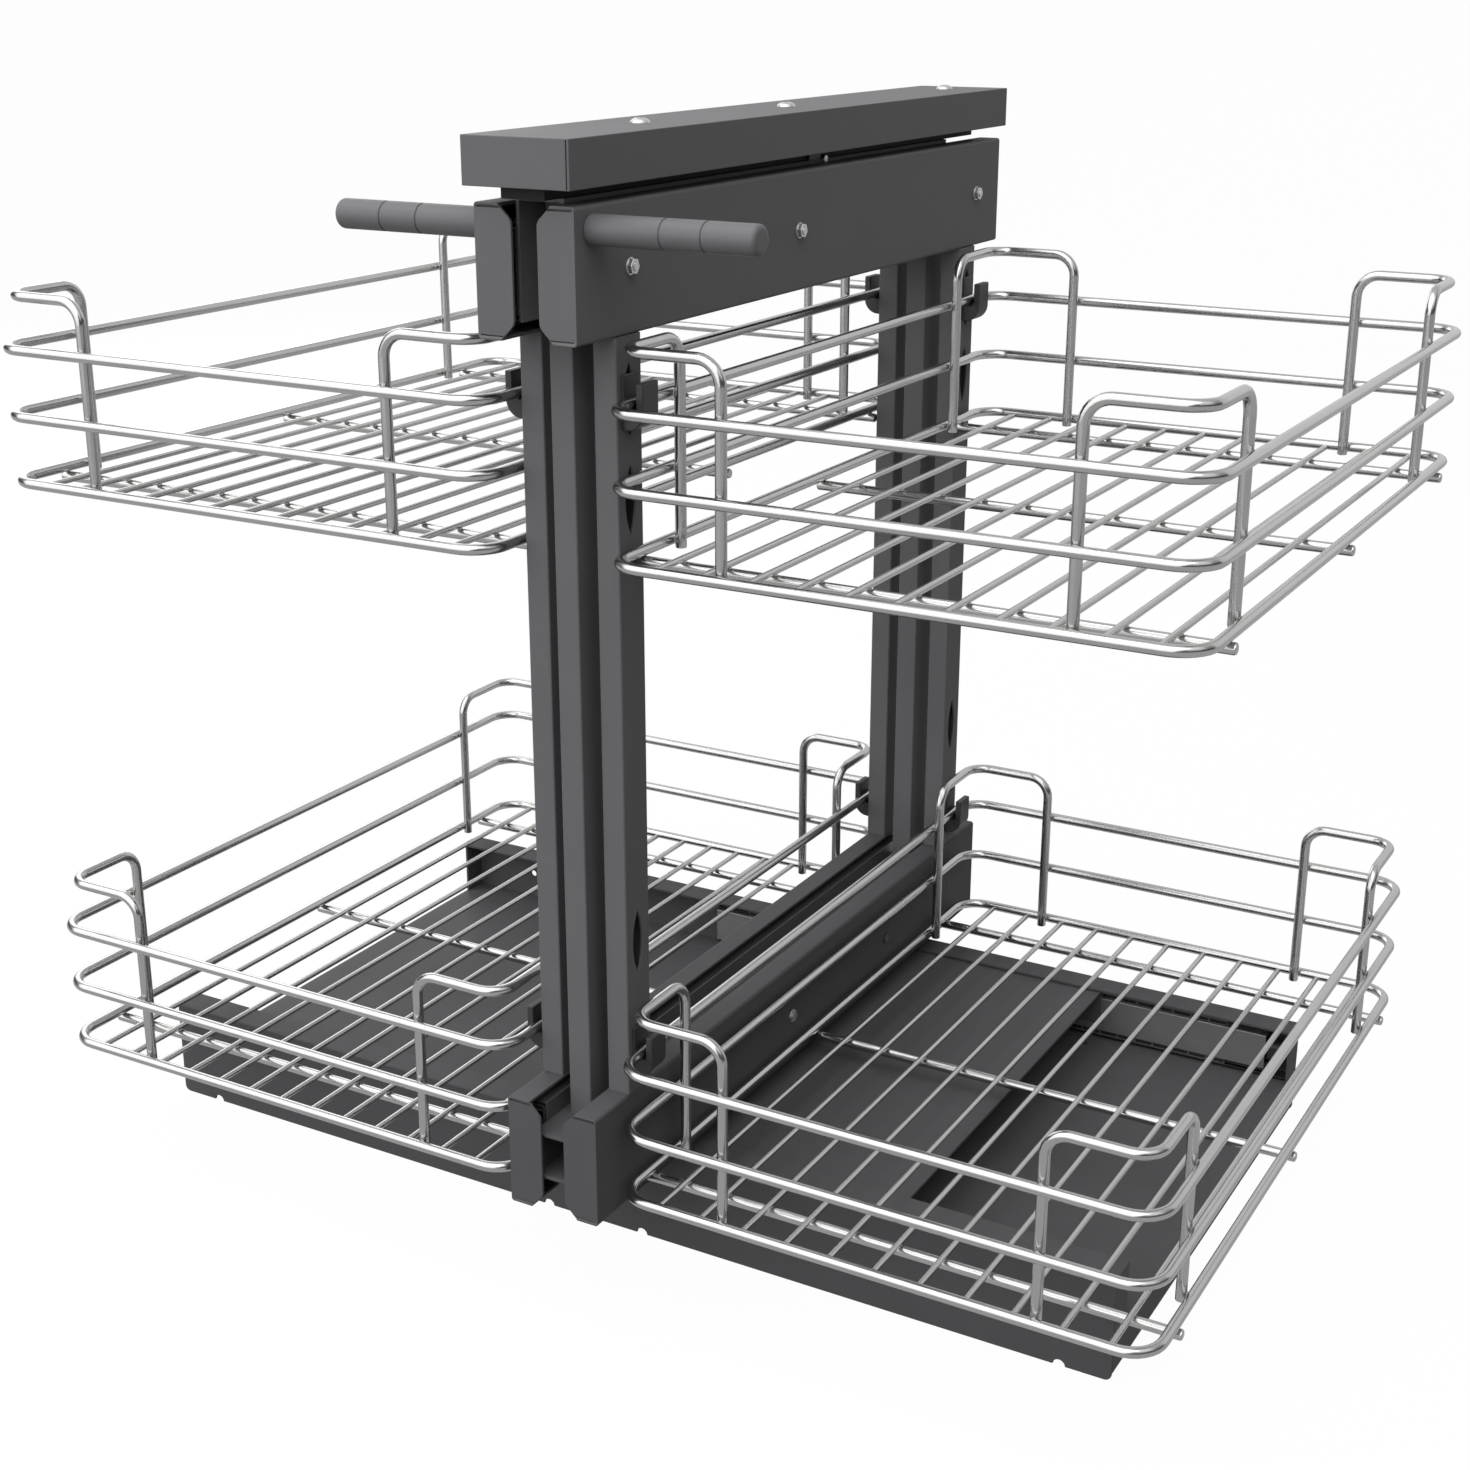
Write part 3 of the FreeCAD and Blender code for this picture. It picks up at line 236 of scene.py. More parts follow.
@dataclass(frozen=True)
class Finish:
    """A surface finish: colour range, gloss range and fine relief.

    Attributes:
        name: The material's name.
        slot: The record's slot that it belongs to.
        dark: Darkest tone of the finish, linear RGB.
        light: Lightest tone.
        smooth: Lowest roughness.
        rough: Highest roughness.
        metal: Metallic share.
        grain: Size of the relief's features, mm.
        relief: Depth of the relief, mm.
        cloud: Size of the slow change in tone, mm.
        stretch: Draws the grain out along an axis, as rolling or drawing does.
        specular: Specular level of a finish that isn't metal.
    """

    name: str
    slot: Slot
    dark: tuple[float, float, float]
    light: tuple[float, float, float]
    smooth: float
    rough: float
    metal: float = 0.0
    grain: float = 0.8
    relief: float = 0.02
    cloud: float = 45.0
    stretch: tuple[float, float, float] = (1.0, 1.0, 1.0)
    specular: float = 0.5

    cloud_detail: ClassVar[float] = 3.0
    cloud_in_tone: ClassVar[float] = 0.7
    grain_in_tone: ClassVar[float] = 0.3
    share_in_gloss: ClassVar[float] = 0.5
    relief_strength: ClassVar[float] = 0.5

    @functools.cache
    def material(self) -> bpy.types.Material:
        """The finish as a material, made once.

        Returns:
            The material.
        """
        made = bpy.data.materials.new(self.name)
        made.use_nodes = True
        shader = Shader(made.node_tree)
        cloud = shader.noise(self.cloud, self.cloud_detail)
        grain = shader.noise(self.grain, stretch=self.stretch)
        tone = cloud * self.cloud_in_tone + grain * self.grain_in_tone
        gloss = grain * self.share_in_gloss + cloud * self.share_in_gloss
        surface = shader.node("ShaderNodeBsdfPrincipled", None, {
            "Base Color": shader.blend(tone, self.dark, self.light),
            "Roughness": gloss * (self.rough - self.smooth) + self.smooth,
            "Metallic": self.metal,
            "Specular IOR Level": self.specular,
            "Normal": shader.bump(grain, self.relief_strength, self.relief),
        })
        shader.node("ShaderNodeOutputMaterial", None, {"Surface": surface("BSDF")})
        return made


CHARCOAL = Finish(
    "charcoal_powder_coat", Slot.POWDER, dark=(0.108, 0.107, 0.112), light=(0.132, 0.131, 0.137),
    smooth=0.46, rough=0.6, grain=0.9, relief=0.03, specular=0.14,
)
# Darker copy of the charcoal coat: painted shade that stands in for the dimmer light on the low
# pieces, such as the base, the carriage plate and the bottom beams.
SHADED_LOW_COAT = Finish(
    "base_powder_coat", Slot.POWDER, dark=(0.076, 0.075, 0.079), light=(0.094, 0.093, 0.098),
    smooth=0.5, rough=0.64, grain=0.9, relief=0.03, specular=0.12,
)
# Lighter copy of the powder coat for the top channel: painted light that stands in for the light
# reaching into the gap under the cover.
LIT_CHANNEL_COAT = Finish(
    "channel_powder_coat", Slot.POWDER, dark=(0.19, 0.189, 0.194), light=(0.23, 0.229, 0.235),
    smooth=0.5, rough=0.64, grain=0.9, relief=0.03, specular=0.2,
)
# Near-black copy of the low coat for the spine bar: painted shade for the dark space under the
# cover.
SHADED_SPINE_COAT = replace(
    SHADED_LOW_COAT, name="spine_powder_coat", dark=(0.014, 0.014, 0.015), light=(0.02, 0.02, 0.021)
)
GRIP = Finish(
    "handle_powder_coat", Slot.POWDER, dark=(0.112, 0.111, 0.116), light=(0.132, 0.131, 0.137),
    smooth=0.42, rough=0.54, grain=0.7, relief=0.015, cloud=20.0, specular=0.3,
)
WIRE = Finish(
    "satin_chrome_wire", Slot.WIRE, dark=(0.45, 0.45, 0.446), light=(0.53, 0.53, 0.525),
    smooth=0.17, rough=0.25, metal=1.0, grain=0.6, relief=0.001, cloud=18.0,
)
RAIL = Finish(
    "rolled_slide_steel", Slot.STEEL, dark=(0.17, 0.17, 0.173), light=(0.23, 0.23, 0.233),
    smooth=0.34, rough=0.46, metal=0.7, grain=0.5, relief=0.004, cloud=60.0,
    stretch=(1.0, 0.06, 1.0),
)
LATERAL_RAIL = Finish(
    "rolled_lateral_steel", Slot.STEEL, dark=(0.3, 0.3, 0.304), light=(0.4, 0.4, 0.404),
    smooth=0.36, rough=0.48, metal=0.7, grain=0.5, relief=0.004, cloud=60.0,
    stretch=(0.06, 1.0, 1.0),
)
DARK_RAIL = Finish(
    "blackened_slide_steel", Slot.STEEL, dark=(0.03, 0.03, 0.031), light=(0.05, 0.05, 0.051),
    smooth=0.34, rough=0.46, metal=0.6, grain=0.5, relief=0.004, cloud=60.0,
    stretch=(0.06, 1.0, 1.0),
)
PLASTIC = Finish(
    "moulded_black_plastic", Slot.PLASTIC, dark=(0.026, 0.026, 0.027), light=(0.036, 0.036, 0.037),
    smooth=0.4, rough=0.54, grain=0.35, relief=0.008, cloud=9.0, specular=0.4,
)
RETAINER = replace(
    PLASTIC, name="moulded_grey_plastic", dark=(0.1, 0.1, 0.101), light=(0.15, 0.15, 0.151)
)
ZINC = Finish(
    "zinc_plated_steel", Slot.STEEL, dark=(0.52, 0.52, 0.515), light=(0.64, 0.64, 0.632),
    smooth=0.32, rough=0.44, metal=1.0, grain=0.4, relief=0.004, cloud=3.0,
)


# Meshes


def inside(place: Vector, low: Vector, high: Vector) -> bool:
    """True for a place between two corners."""
    return all(low[axis] < place[axis] < high[axis] for axis in range(3))


def box_round(*ends: Vector) -> tuple[Vector, Vector]:
    """The lowest and the highest corner of the box round two places."""
    return Vector(map(min, *ends)), Vector(map(max, *ends))


def edges_at(verts: Iterable[bmesh.types.BMVert]) -> list[bmesh.types.BMEdge]:
    """The edges that meet some corners, each once."""
    return list(dict.fromkeys(edge for vert in verts for edge in vert.link_edges))


def corners_in(made: Iterable[object]) -> list[bmesh.types.BMVert]:
    """The corners among what an operator made."""
    return [item for item in made if isinstance(item, bmesh.types.BMVert)]


def is_sharp(edge: bmesh.types.BMEdge) -> bool:
    """True for an edge between two faces that meet at an angle."""
    return edge.calc_face_angle(0.0) > CAD_EDGE


def bevel(
    bm: bmesh.types.BMesh, edges: Iterable[bmesh.types.BMEdge], width: float, segments: int = 2,
    clamp: bool = True,
) -> None:
    """Bevels edges to a round.

    Args:
        bm: The mesh that they belong to.
        edges: The edges.
        width: Width of the round on each face, mm.
        segments: Faces across the round.
        clamp: Keeps the round inside narrow faces.
    """
    bmesh.ops.bevel(
        bm, geom=list(edges), offset=width * MM, offset_type="OFFSET", segments=segments,
        profile=0.5, affect="EDGES", clamp_overlap=clamp, material=-1,
    )


def extrude_rim(
    bm: bmesh.types.BMesh, rim: Sequence[bmesh.types.BMEdge]
) -> tuple[list[bmesh.types.BMVert], list[bmesh.types.BMEdge]]:
    """Extrudes open edges in place.

    Args:
        bm: The mesh that they belong to.
        rim: The edges.

    Returns:
        The new corners, and the new edges between them.
    """
    made = bmesh.ops.extrude_edge_only(bm, edges=rim)["geom"]
    verts = corners_in(made)
    fresh = set(verts)
    edges = [
        item for item in made
        if isinstance(item, bmesh.types.BMEdge) and set(item.verts) <= fresh
    ]
    return verts, edges


@dataclass(frozen=True)
class Boss:
    """A round or many-sided boss that stands on a face.

    Attributes:
        radius: Radius to its corners, mm.
        height: Its height, mm.
        edge: Rounding of its edges, mm.
        sides: Corners round it.
    """

    radius: float
    height: float
    edge: float
    sides: int


class Workpiece:
    """A mesh in the making, which becomes one object at the frame's origin."""

    def __init__(self, name: str) -> None:
        """Starts an empty piece with the name that its object gets."""
        self.name = name
        self.bm = bmesh.new()

    def take_cad(self, node: str) -> "Workpiece":
        """Adds a copy of a CAD node with its loose triangles joined to whole faces.

        Args:
            node: The node's name.

        Returns:
            The piece itself.
        """
        self.bm.from_mesh(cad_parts[node].data)
        bmesh.ops.remove_doubles(self.bm, verts=self.bm.verts, dist=WELDED)
        bmesh.ops.dissolve_limit(
            self.bm, angle_limit=FLAT, verts=self.bm.verts, edges=self.bm.edges
        )
        return self

    def soften(self, width: float, segments: int = 2) -> "Workpiece":
        """Rounds every sharp edge by a width in millimetres."""
        bevel(self.bm, filter(is_sharp, self.bm.edges), width, segments)
        return self

    def round_corner(
        self, low: Vector, high: Vector, width: float, segments: int
    ) -> "Workpiece":
        """Rounds the sharp edges that lie in a box.

        Args:
            low: Lowest corner of the box, metres.
            high: Highest corner.
            width: Width of the round, mm.
            segments: Faces across the round.

        Returns:
            The piece itself.
        """
        edges = [
            edge for edge in self.bm.edges
            if is_sharp(edge) and all(inside(vert.co, low, high) for vert in edge.verts)
        ]
        bevel(self.bm, edges, width, segments)
        return self

    def deepen(
        self, faces: Sequence[bmesh.types.BMFace], step: Vector
    ) -> list[bmesh.types.BMFace]:
        """Extrudes faces and leaves nothing in their old place.

        Args:
            faces: The faces.
            step: How far they move, metres.

        Returns:
            The moved faces.
        """
        made = bmesh.ops.extrude_face_region(self.bm, geom=list(faces))["geom"]
        bmesh.ops.translate(self.bm, verts=corners_in(made), vec=step)
        bmesh.ops.delete(self.bm, geom=[face for face in faces if face.is_valid], context="FACES")
        return [item for item in made if isinstance(item, bmesh.types.BMFace)]

    def score(self, low: Vector, high: Vector, normal: Vector, depth: float) -> "Workpiece":
        """Presses a narrow groove into the faces that lie in a box.

        Args:
            low: Lowest corner of the groove, metres.
            high: Highest corner.
            normal: The way the scored faces look.
            depth: Depth of the groove, mm.

        Returns:
            The piece itself.
        """
        for axis in range(3):
            if abs(normal[axis]) > FACING:
                continue
            plane = Vector((0, 0, 0))
            plane[axis] = 1
            for corner in (low, high):
                bmesh.ops.bisect_plane(
                    self.bm, geom=[*self.bm.verts, *self.bm.edges, *self.bm.faces],
                    dist=WELDED, plane_co=corner, plane_no=plane,
                )
        scored = [
            face for face in self.bm.faces
            if face.normal.dot(normal) > FACING and inside(face.calc_center_median(), low, high)
        ]
        self.deepen(scored, normal * (-depth * MM))
        return self

    def block(self, low: Vector, high: Vector, edge: float, segments: int = 2) -> "Workpiece":
        """Adds an upright block with rounded edges.

        Args:
            low: Its lowest corner, metres.
            high: Its highest corner.
            edge: Rounding of its edges, mm.
            segments: Faces across each round.

        Returns:
            The piece itself.
        """
        middle = Matrix.Translation((low + high) / 2)
        made = bmesh.ops.create_cube(
            self.bm, size=1.0, matrix=middle @ Matrix.Diagonal((*(high - low), 1.0))
        )
        bevel(self.bm, edges_at(made["verts"]), edge, segments)
        return self

    def boss(self, foot: Vector, axis: Vector, shape: Boss, turn: float = 0.0) -> "Workpiece":
        """Adds a boss.

        Args:
            foot: Middle of its foot, metres.
            axis: The way it stands up.
            shape: Its sizes.
            turn: Its turn about its axis.

        Returns:
            The piece itself.
        """
        stand = axis.to_track_quat("Z", "Y").to_matrix().to_4x4()
        lift = Matrix.Translation(foot + axis * (shape.height / 2 * MM))
        made = bmesh.ops.create_cone(
            self.bm, cap_ends=True, cap_tris=False, segments=shape.sides,
            radius1=shape.radius * MM, radius2=shape.radius * MM, depth=shape.height * MM,
            matrix=lift @ stand @ Matrix.Rotation(turn, 4, "Z"),
        )
        bevel(self.bm, filter(is_sharp, edges_at(made["verts"])), shape.edge)
        return self

    def turned(
        self, centre: Vector, axis: Vector, profile: Sequence[tuple[float, float]], steps: int
    ) -> "Workpiece":
        """Adds a turned piece.

        Args:
            centre: Zero of the profile, metres.
            axis: Its axis.
            profile: Pairs of place along the axis and radius, mm.
            steps: Steps of the full turn.

        Returns:
            The piece itself.
        """
        aside = axis.orthogonal().normalized()
        verts = [
            self.bm.verts.new(centre + axis * (along * MM) + aside * (radius * MM))
            for along, radius in profile
        ]
        edges = [self.bm.edges.new(pair) for pair in zip(verts, verts[1:])]
        bmesh.ops.spin(
            self.bm, geom=[*verts, *edges], cent=centre, axis=axis, angle=FULL_TURN,
            steps=steps, use_merge=True,
        )
        bmesh.ops.remove_doubles(self.bm, verts=self.bm.verts, dist=WELDED)
        return self

    def bead(self, place: Vector, radius: float, squash: Sequence[float]) -> "Workpiece":
        """Adds a small weld bead.

        Args:
            place: Its middle, metres.
            radius: Its radius, mm.
            squash: Share of the radius that it keeps along each axis.

        Returns:
            The piece itself.
        """
        bmesh.ops.create_uvsphere(
            self.bm, u_segments=8, v_segments=4, radius=radius * MM,
            matrix=Matrix.Translation(place) @ Matrix.Diagonal((*squash, 1.0)),
        )
        return self

    def outline(
        self, corners: Sequence[Vector], along: Vector, length: float, edge: float = 0.0
    ) -> "Workpiece":
        """Draws a closed outline out to a solid.

        Args:
            corners: The outline's corners in order, metres.
            along: The way that it is drawn out.
            length: How far, mm.
            edge: Rounding of the solid's edges, mm.

        Returns:
            The piece itself.
        """
        verts = [self.bm.verts.new(corner) for corner in corners]
        rim = [self.bm.edges.new(pair) for pair in zip(verts, verts[1:] + verts[:1])]
        face = bmesh.ops.contextual_create(self.bm, geom=rim)["faces"]
        made = bmesh.ops.extrude_face_region(self.bm, geom=face, use_keep_orig=True)["geom"]
        moved = corners_in(made)
        bmesh.ops.translate(self.bm, verts=moved, vec=along * (length * MM))
        if edge > 0:
            bevel(self.bm, filter(is_sharp, edges_at([*verts, *moved])), edge)
        return self

    def done(
        self, body: str, finish: Finish, stands_for: Sequence[str] = (), close: bool = True
    ) -> bpy.types.Object:
        """Turns the mesh into an object that rides on a body.

        Args:
            body: The CAD body that it moves with.
            finish: Its finish.
            stands_for: CAD nodes that it replaces.
            close: Makes the normals point outwards; off for copies of CAD nodes, which point
                right.

        Returns:
            The finished object.
        """
        if close:
            bmesh.ops.recalc_face_normals(self.bm, faces=self.bm.faces)
        mesh = bpy.data.meshes.new(self.name)
        for face in self.bm.faces:
            face.smooth = True
        self.bm.to_mesh(mesh)
        self.bm.free()
        mesh.set_sharp_from_angle(angle=SHARP_EDGE)
        mesh.materials.append(finish.material())
        piece = bpy.data.objects.new(self.name, mesh)
        bpy.context.scene.collection.objects.link(piece)
        shading = piece.modifiers.new("Even shading", "WEIGHTED_NORMAL")
        shading.keep_sharp = True
        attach(piece, body)
        if stands_for:
            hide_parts(*stands_for)
        LOG.info("%s: %d faces on %s", self.name, len(mesh.polygons), body)
        return piece


class Wire:
    """A round wire, run and bent the way a wire bender makes it."""

    bend_steps: ClassVar[int] = 8

    def __init__(
        self, bm: bmesh.types.BMesh, start: Vector, heading: Vector, diameter: float,
        sides: int = 14,
    ) -> None:
        """Starts a wire as a circle across its heading.

        Args:
            bm: The mesh that takes the wire.
            start: Its first place, metres.
            heading: The way it starts off.
            diameter: Its diameter, mm.
            sides: Sides of its section.
        """
        self.bm = bm
        self.place = start.copy()
        self.heading = heading.copy()
        turn = heading.to_track_quat("Z", "Y").to_matrix().to_4x4()
        circle = bmesh.ops.create_circle(
            bm, cap_ends=False, radius=diameter / 2 * MM, segments=sides,
            matrix=Matrix.Translation(start) @ turn,
        )
        self.start = list(circle["verts"])
        self.rim = edges_at(self.start)

    def run(self, length: float) -> "Wire":
        """Runs straight on.

        Args:
            length: How far, mm.

        Returns:
            The wire itself.
        """
        step = self.heading * (length * MM)
        verts, self.rim = extrude_rim(self.bm, self.rim)
        bmesh.ops.translate(self.bm, verts=verts, vec=step)
        self.place += step
        return self

    def bend(self, towards: Vector, radius: float) -> "Wire":
        """Bends by a quarter turn.

        Args:
            towards: The direction it bends to, square to its heading.
            radius: Radius of the bend at the wire's middle, mm.

        Returns:
            The wire itself.
        """
        centre = self.place + towards * (radius * MM)
        made = bmesh.ops.spin(
            self.bm, geom=self.rim, cent=centre, axis=self.heading.cross(towards),
            angle=QUARTER_TURN, steps=self.bend_steps,
        )["geom_last"]
        self.rim = [item for item in made if isinstance(item, bmesh.types.BMEdge)]
        self.place = centre + self.heading * (radius * MM)
        self.heading = towards.copy()
        return self

    def weld_shut(self) -> "Wire":
        """Joins the rim to the start of the wire, where the path has come back to it.

        Returns:
            The wire itself.
        """
        ends = [*self.start, *{vert for edge in self.rim for vert in edge.verts}]
        bmesh.ops.remove_doubles(self.bm, verts=ends, dist=WELDED * 10)
        return self

    def cut_ends(self, edge: float) -> "Wire":
        """Closes both ends.

        Args:
            edge: Rounding of the cuts, mm.

        Returns:
            The wire itself.
        """
        start = [item for item in edges_at(self.start) if len(item.link_faces) == 1]
        for rim in (start, self.rim):
            face = bmesh.ops.contextual_create(self.bm, geom=rim)["faces"]
            bevel(self.bm, face[0].edges, edge)
        return self


def folded(node: str, body: str, edge: float = SHEET_EDGE, finish: Finish = CHARCOAL) -> None:
    """Replaces a CAD node by its own shape with softly rounded edges.

    Args:
        node: The node's name.
        body: The CAD body that it moves with.
        edge: Rounding of its edges, mm.
        finish: Its finish.
    """
    piece = Workpiece(f"{node}_finished").take_cad(node).soften(edge)
    piece.done(body, finish, [node], close=False)


# Sub-assemblies


@dataclass
class Base:
    """The folded base with the fixed rails of the lateral slides."""

    length: float = 655.5
    inner_web: float = 168.4
    floor_top: float = 25.5
    seam_from_middle: float = 151.0
    seam_width: float = 1.4
    seam_depth: float = 1.0
    seam_end_gap: float = 1.0
    rail_edge: float = 0.3
    bumper_edge: float = 0.9
    rail_left: float = -102.75
    tab_gap: float = 0.2
    tab_foot_width: float = 13.0
    tab_foot_sheet: float = 1.2
    tab_wall_end: float = 1.6
    tab_near: float = 1.4
    tab_far: float = 12.4
    tab_low: float = 32.6
    tab_high: float = 50.5
    tab_edge: float = 0.25

    def build(self) -> None:
        """Makes every piece of the base."""
        self.floor()
        # The channels take the darker coat: painted shade for the low pieces.
        for side in ("front", "rear"):
            folded(f"base_{side}_channel", "base", finish=SHADED_LOW_COAT)
        for side in ("front", "rear"):
            folded(f"lateral_{side}_outer_rail", "base", self.rail_edge, DARK_RAIL)
        folded("lateral_bumpers", "base", self.bumper_edge, PLASTIC)
        self.end_tabs()

    def floor(self) -> None:
        """The floor pan, with the seams beside the channels' lower flanges."""
        pan = Workpiece("base_floor_finished").take_cad("base_floor_pan").soften(SHEET_EDGE)
        half = self.length / 2 - self.seam_end_gap
        for turn in (-1, 1):
            middle = self.seam_from_middle * turn
            pan.score(
                Origin.BASE.at(-half, middle - self.seam_width / 2, self.floor_top - MARGIN),
                Origin.BASE.at(half, middle + self.seam_width / 2, self.floor_top + MARGIN),
                UP, self.seam_depth,
            )
        # The pan takes the darker coat: painted shade for the low pieces.
        pan.done("base", SHADED_LOW_COAT, ["base_floor_pan"], close=False)

    def end_tabs(self) -> None:
        """Bent stop tabs at the left ends of the fixed lateral rails."""
        near = self.inner_web - self.tab_near
        far = self.inner_web - self.tab_far
        foot_back = near - self.tab_foot_sheet
        path = (
            (self.tab_gap, near), (self.tab_foot_width, near), (self.tab_foot_width, foot_back),
            (self.tab_wall_end, foot_back), (self.tab_wall_end, far), (self.tab_gap, far),
        )
        for turn, word in ((-1, "front"), (1, "rear")):
            corners = [
                Origin.BASE.at(self.rail_left + across, back * turn, self.tab_low)
                for across, back in path
            ]
            tab = Workpiece(f"lateral_{word}_end_tab")
            tab.outline(corners, UP, self.tab_high - self.tab_low, self.tab_edge)
            tab.done("base", ZINC)


@dataclass
class LateralMiddles:
    """Middle rails of the lateral slides and their ball retainers."""

    rail_edge: float = 0.3
    retainer_edge: float = 0.15
    left: float = -76.25
    right: float = 283.75
    face: float = 156.7
    middle_height: float = 43.95
    low_edge: float = 12.2
    high_edge: float = 15.7
    pitch: float = 12.6
    window_frame: float = 0.85
    sheet: float = 0.5

    def build(self) -> None:
        """Makes the middle rails, retainers and their windowed lips."""
        for side in ("front", "rear"):
            folded(f"lateral_{side}_middle_rail", "lateral_middles", self.rail_edge, DARK_RAIL)
        folded("lateral_ball_retainers", "lateral_middles", self.retainer_edge, PLASTIC)
        self.lips()

    def lips(self) -> None:
        """Windowed lips that show above and below both lateral slides' inner rails."""
        lips = Workpiece("lateral_retainer_lips")
        count = round((self.right - self.left) / self.pitch)
        half = Vector(((self.right - self.left) / 2, (self.high_edge - self.low_edge) / 2, 1)) * MM
        turn_up = Matrix.Rotation(QUARTER_TURN, 4, "X") @ Matrix.Diagonal((*half, 1.0))
        middle = (self.left + self.right) / 2
        lift = (self.low_edge + self.high_edge) / 2
        for turn in (-1, 1):
            for flip in (-1, 1):
                centre = Origin.BASE.at(middle, self.face * turn, self.middle_height + flip * lift)
                made = bmesh.ops.create_grid(
                    lips.bm, x_segments=count, y_segments=1, size=1.0,
                    matrix=Matrix.Translation(centre) @ turn_up,
                )
                cells = list(dict.fromkeys(
                    face for vert in made["verts"] for face in vert.link_faces
                ))
                bmesh.ops.inset_individual(lips.bm, faces=cells, thickness=self.window_frame * MM)
                bmesh.ops.delete(lips.bm, geom=cells, context="FACES_ONLY")
        bmesh.ops.solidify(lips.bm, geom=lips.bm.faces, thickness=self.sheet * MM)
        lips.done("lateral_middles", RETAINER)


@dataclass
class Carriage:
    """The sliding post: plate, tube, columns, channel, cover and the fixed frame rails."""

    lateral_rail_edge: float = 0.7
    frame_rail_edge: float = 0.4
    cover_half: float = 30.5
    cover_front: float = -6.0
    cover_rear: float = 504.5
    cover_low: float = 549.6
    cover_top: float = 573.0
    cover_edge: float = 0.45
    cover_edge_steps: int = 3
    sheet: float = 1.5
    slot_half: float = 9.0
    end_lip: float = 12.0
    seam_inset: float = 1.6
    seam_width: float = 0.75
    seam_depth: float = 2.4
    screw_places: tuple[float, ...] = (105.0, 260.0, 474.0)
    screw_radius: float = 5.2
    screw_height: float = 2.6
    screw_dome: tuple[int, ...] = (0, 15, 30, 45, 58, 68)
    screw_steps: int = 28
    recess_radius: float = 1.5
    recess_rim: float = 0.94
    recess_floor: float = 0.4
    catch_low: tuple[float, float, float] = (12.4, 262.0, 538.0)
    catch_high: tuple[float, float, float] = (13.9, 276.0, 548.5)
    catch_edge: float = 0.4
    pin_foot: tuple[float, float, float] = (12.4, 280.0, 543.5)
    pin: Boss = Boss(radius=2.4, height=3.0, edge=0.5, sides=16)

    def build(self) -> None:
        """Makes every piece of the carriage."""
        for node in ("front_middle_column", "rear_middle_column"):
            folded(node, "carriage")
        # The spine bar takes the near-black coat: painted shade under the cover.
        folded("spine_bar", "carriage", finish=SHADED_SPINE_COAT)
        # Plate, saddles and tube take the darker coat: painted shade for the low pieces.
        for node in ("carriage_plate", "beam_saddles", "centre_tube"):
            folded(node, "carriage", finish=SHADED_LOW_COAT)
        # The top channel takes the lighter coat: painted light in the gap under the cover.
        folded("top_channel", "carriage", finish=LIT_CHANNEL_COAT)
        for side in ("front", "rear"):
            node = f"lateral_{side}_inner_rail"
            folded(node, "carriage", self.lateral_rail_edge, LATERAL_RAIL)
        for side in Side:
            for height in ("bottom", "top"):
                node = f"{side.word}_{height}_outer_rail"
                folded(node, "carriage", self.frame_rail_edge, RAIL)
        self.cover()
        self.cover_screws()
        self.catch()

    def cover(self) -> None:
        """The folded cover: hollow, with inward flanges below and a seam at each end."""
        cover = Workpiece("top_cover_folded")
        cover.block(
            Origin.POST.at(-self.cover_half, self.cover_front, self.cover_low),
            Origin.POST.at(self.cover_half, self.cover_rear, self.cover_top),
            self.cover_edge, self.cover_edge_steps,
        )
        underside = [min(cover.bm.faces, key=lambda face: face.calc_center_median().z)]
        bmesh.ops.inset_region(cover.bm, faces=underside, thickness=self.sheet * MM)
        self.fit_opening(underside, self.cover_half - self.slot_half)
        opening = cover.deepen(underside, UP * self.sheet * MM)
        opening = cover.deepen(opening, UP * WELDED)
        self.fit_opening(opening, self.sheet)
        cover.deepen(opening, UP * (self.cover_top - self.cover_low - self.sheet * 2) * MM)
        for turn, end, normal in ((1, self.cover_front, -BACK), (-1, self.cover_rear, BACK)):
            across = (self.cover_half - self.seam_inset) * turn
            half = self.seam_width / 2
            cover.score(
                Origin.POST.at(across - half, end - MARGIN, self.cover_low - MARGIN),
                Origin.POST.at(across + half, end + MARGIN, self.cover_top + MARGIN),
                normal, self.seam_depth,
            )
        cover.done("carriage", CHARCOAL, ["top_cover"])

    def fit_opening(self, faces: Sequence[bmesh.types.BMFace], lip: float) -> None:
        """Puts the corners of the cover's opening a lip's width inside its sides.

        Args:
            faces: The faces that fill the opening.
            lip: Width of the lip, mm; the ends have no wider one than the end lip.
        """
        half = self.cover_half - lip
        low = Origin.POST.at(-half, self.cover_front + min(lip, self.end_lip), 0)
        high = Origin.POST.at(half, self.cover_rear - min(lip, self.end_lip), 0)
        middle = (low + high) / 2
        for vert in {vert for face in faces for vert in face.verts}:
            vert.co.x = low.x if vert.co.x < middle.x else high.x
            vert.co.y = low.y if vert.co.y < middle.y else high.y

    def cover_screws(self) -> None:
        """Low round-headed screws along the cover, each with a recess for the driver."""
        screws = Workpiece("cover_screws")
        height = self.screw_height
        recess = self.recess_radius
        dome = [
            (height * math.sin(angle), self.screw_radius * math.cos(angle))
            for angle in map(math.radians, self.screw_dome)
        ]
        rim = (height * self.recess_rim, recess)
        floor = height * self.recess_floor
        profile = [(0.0, 0.0), *dome, rim, (floor, recess), (floor, 0.0)]
        for back in self.screw_places:
            place = Origin.POST.at(0, back, self.cover_top)
            screws.turned(place, UP, profile, self.screw_steps)
        screws.done("carriage", ZINC, ["cover_screws"])

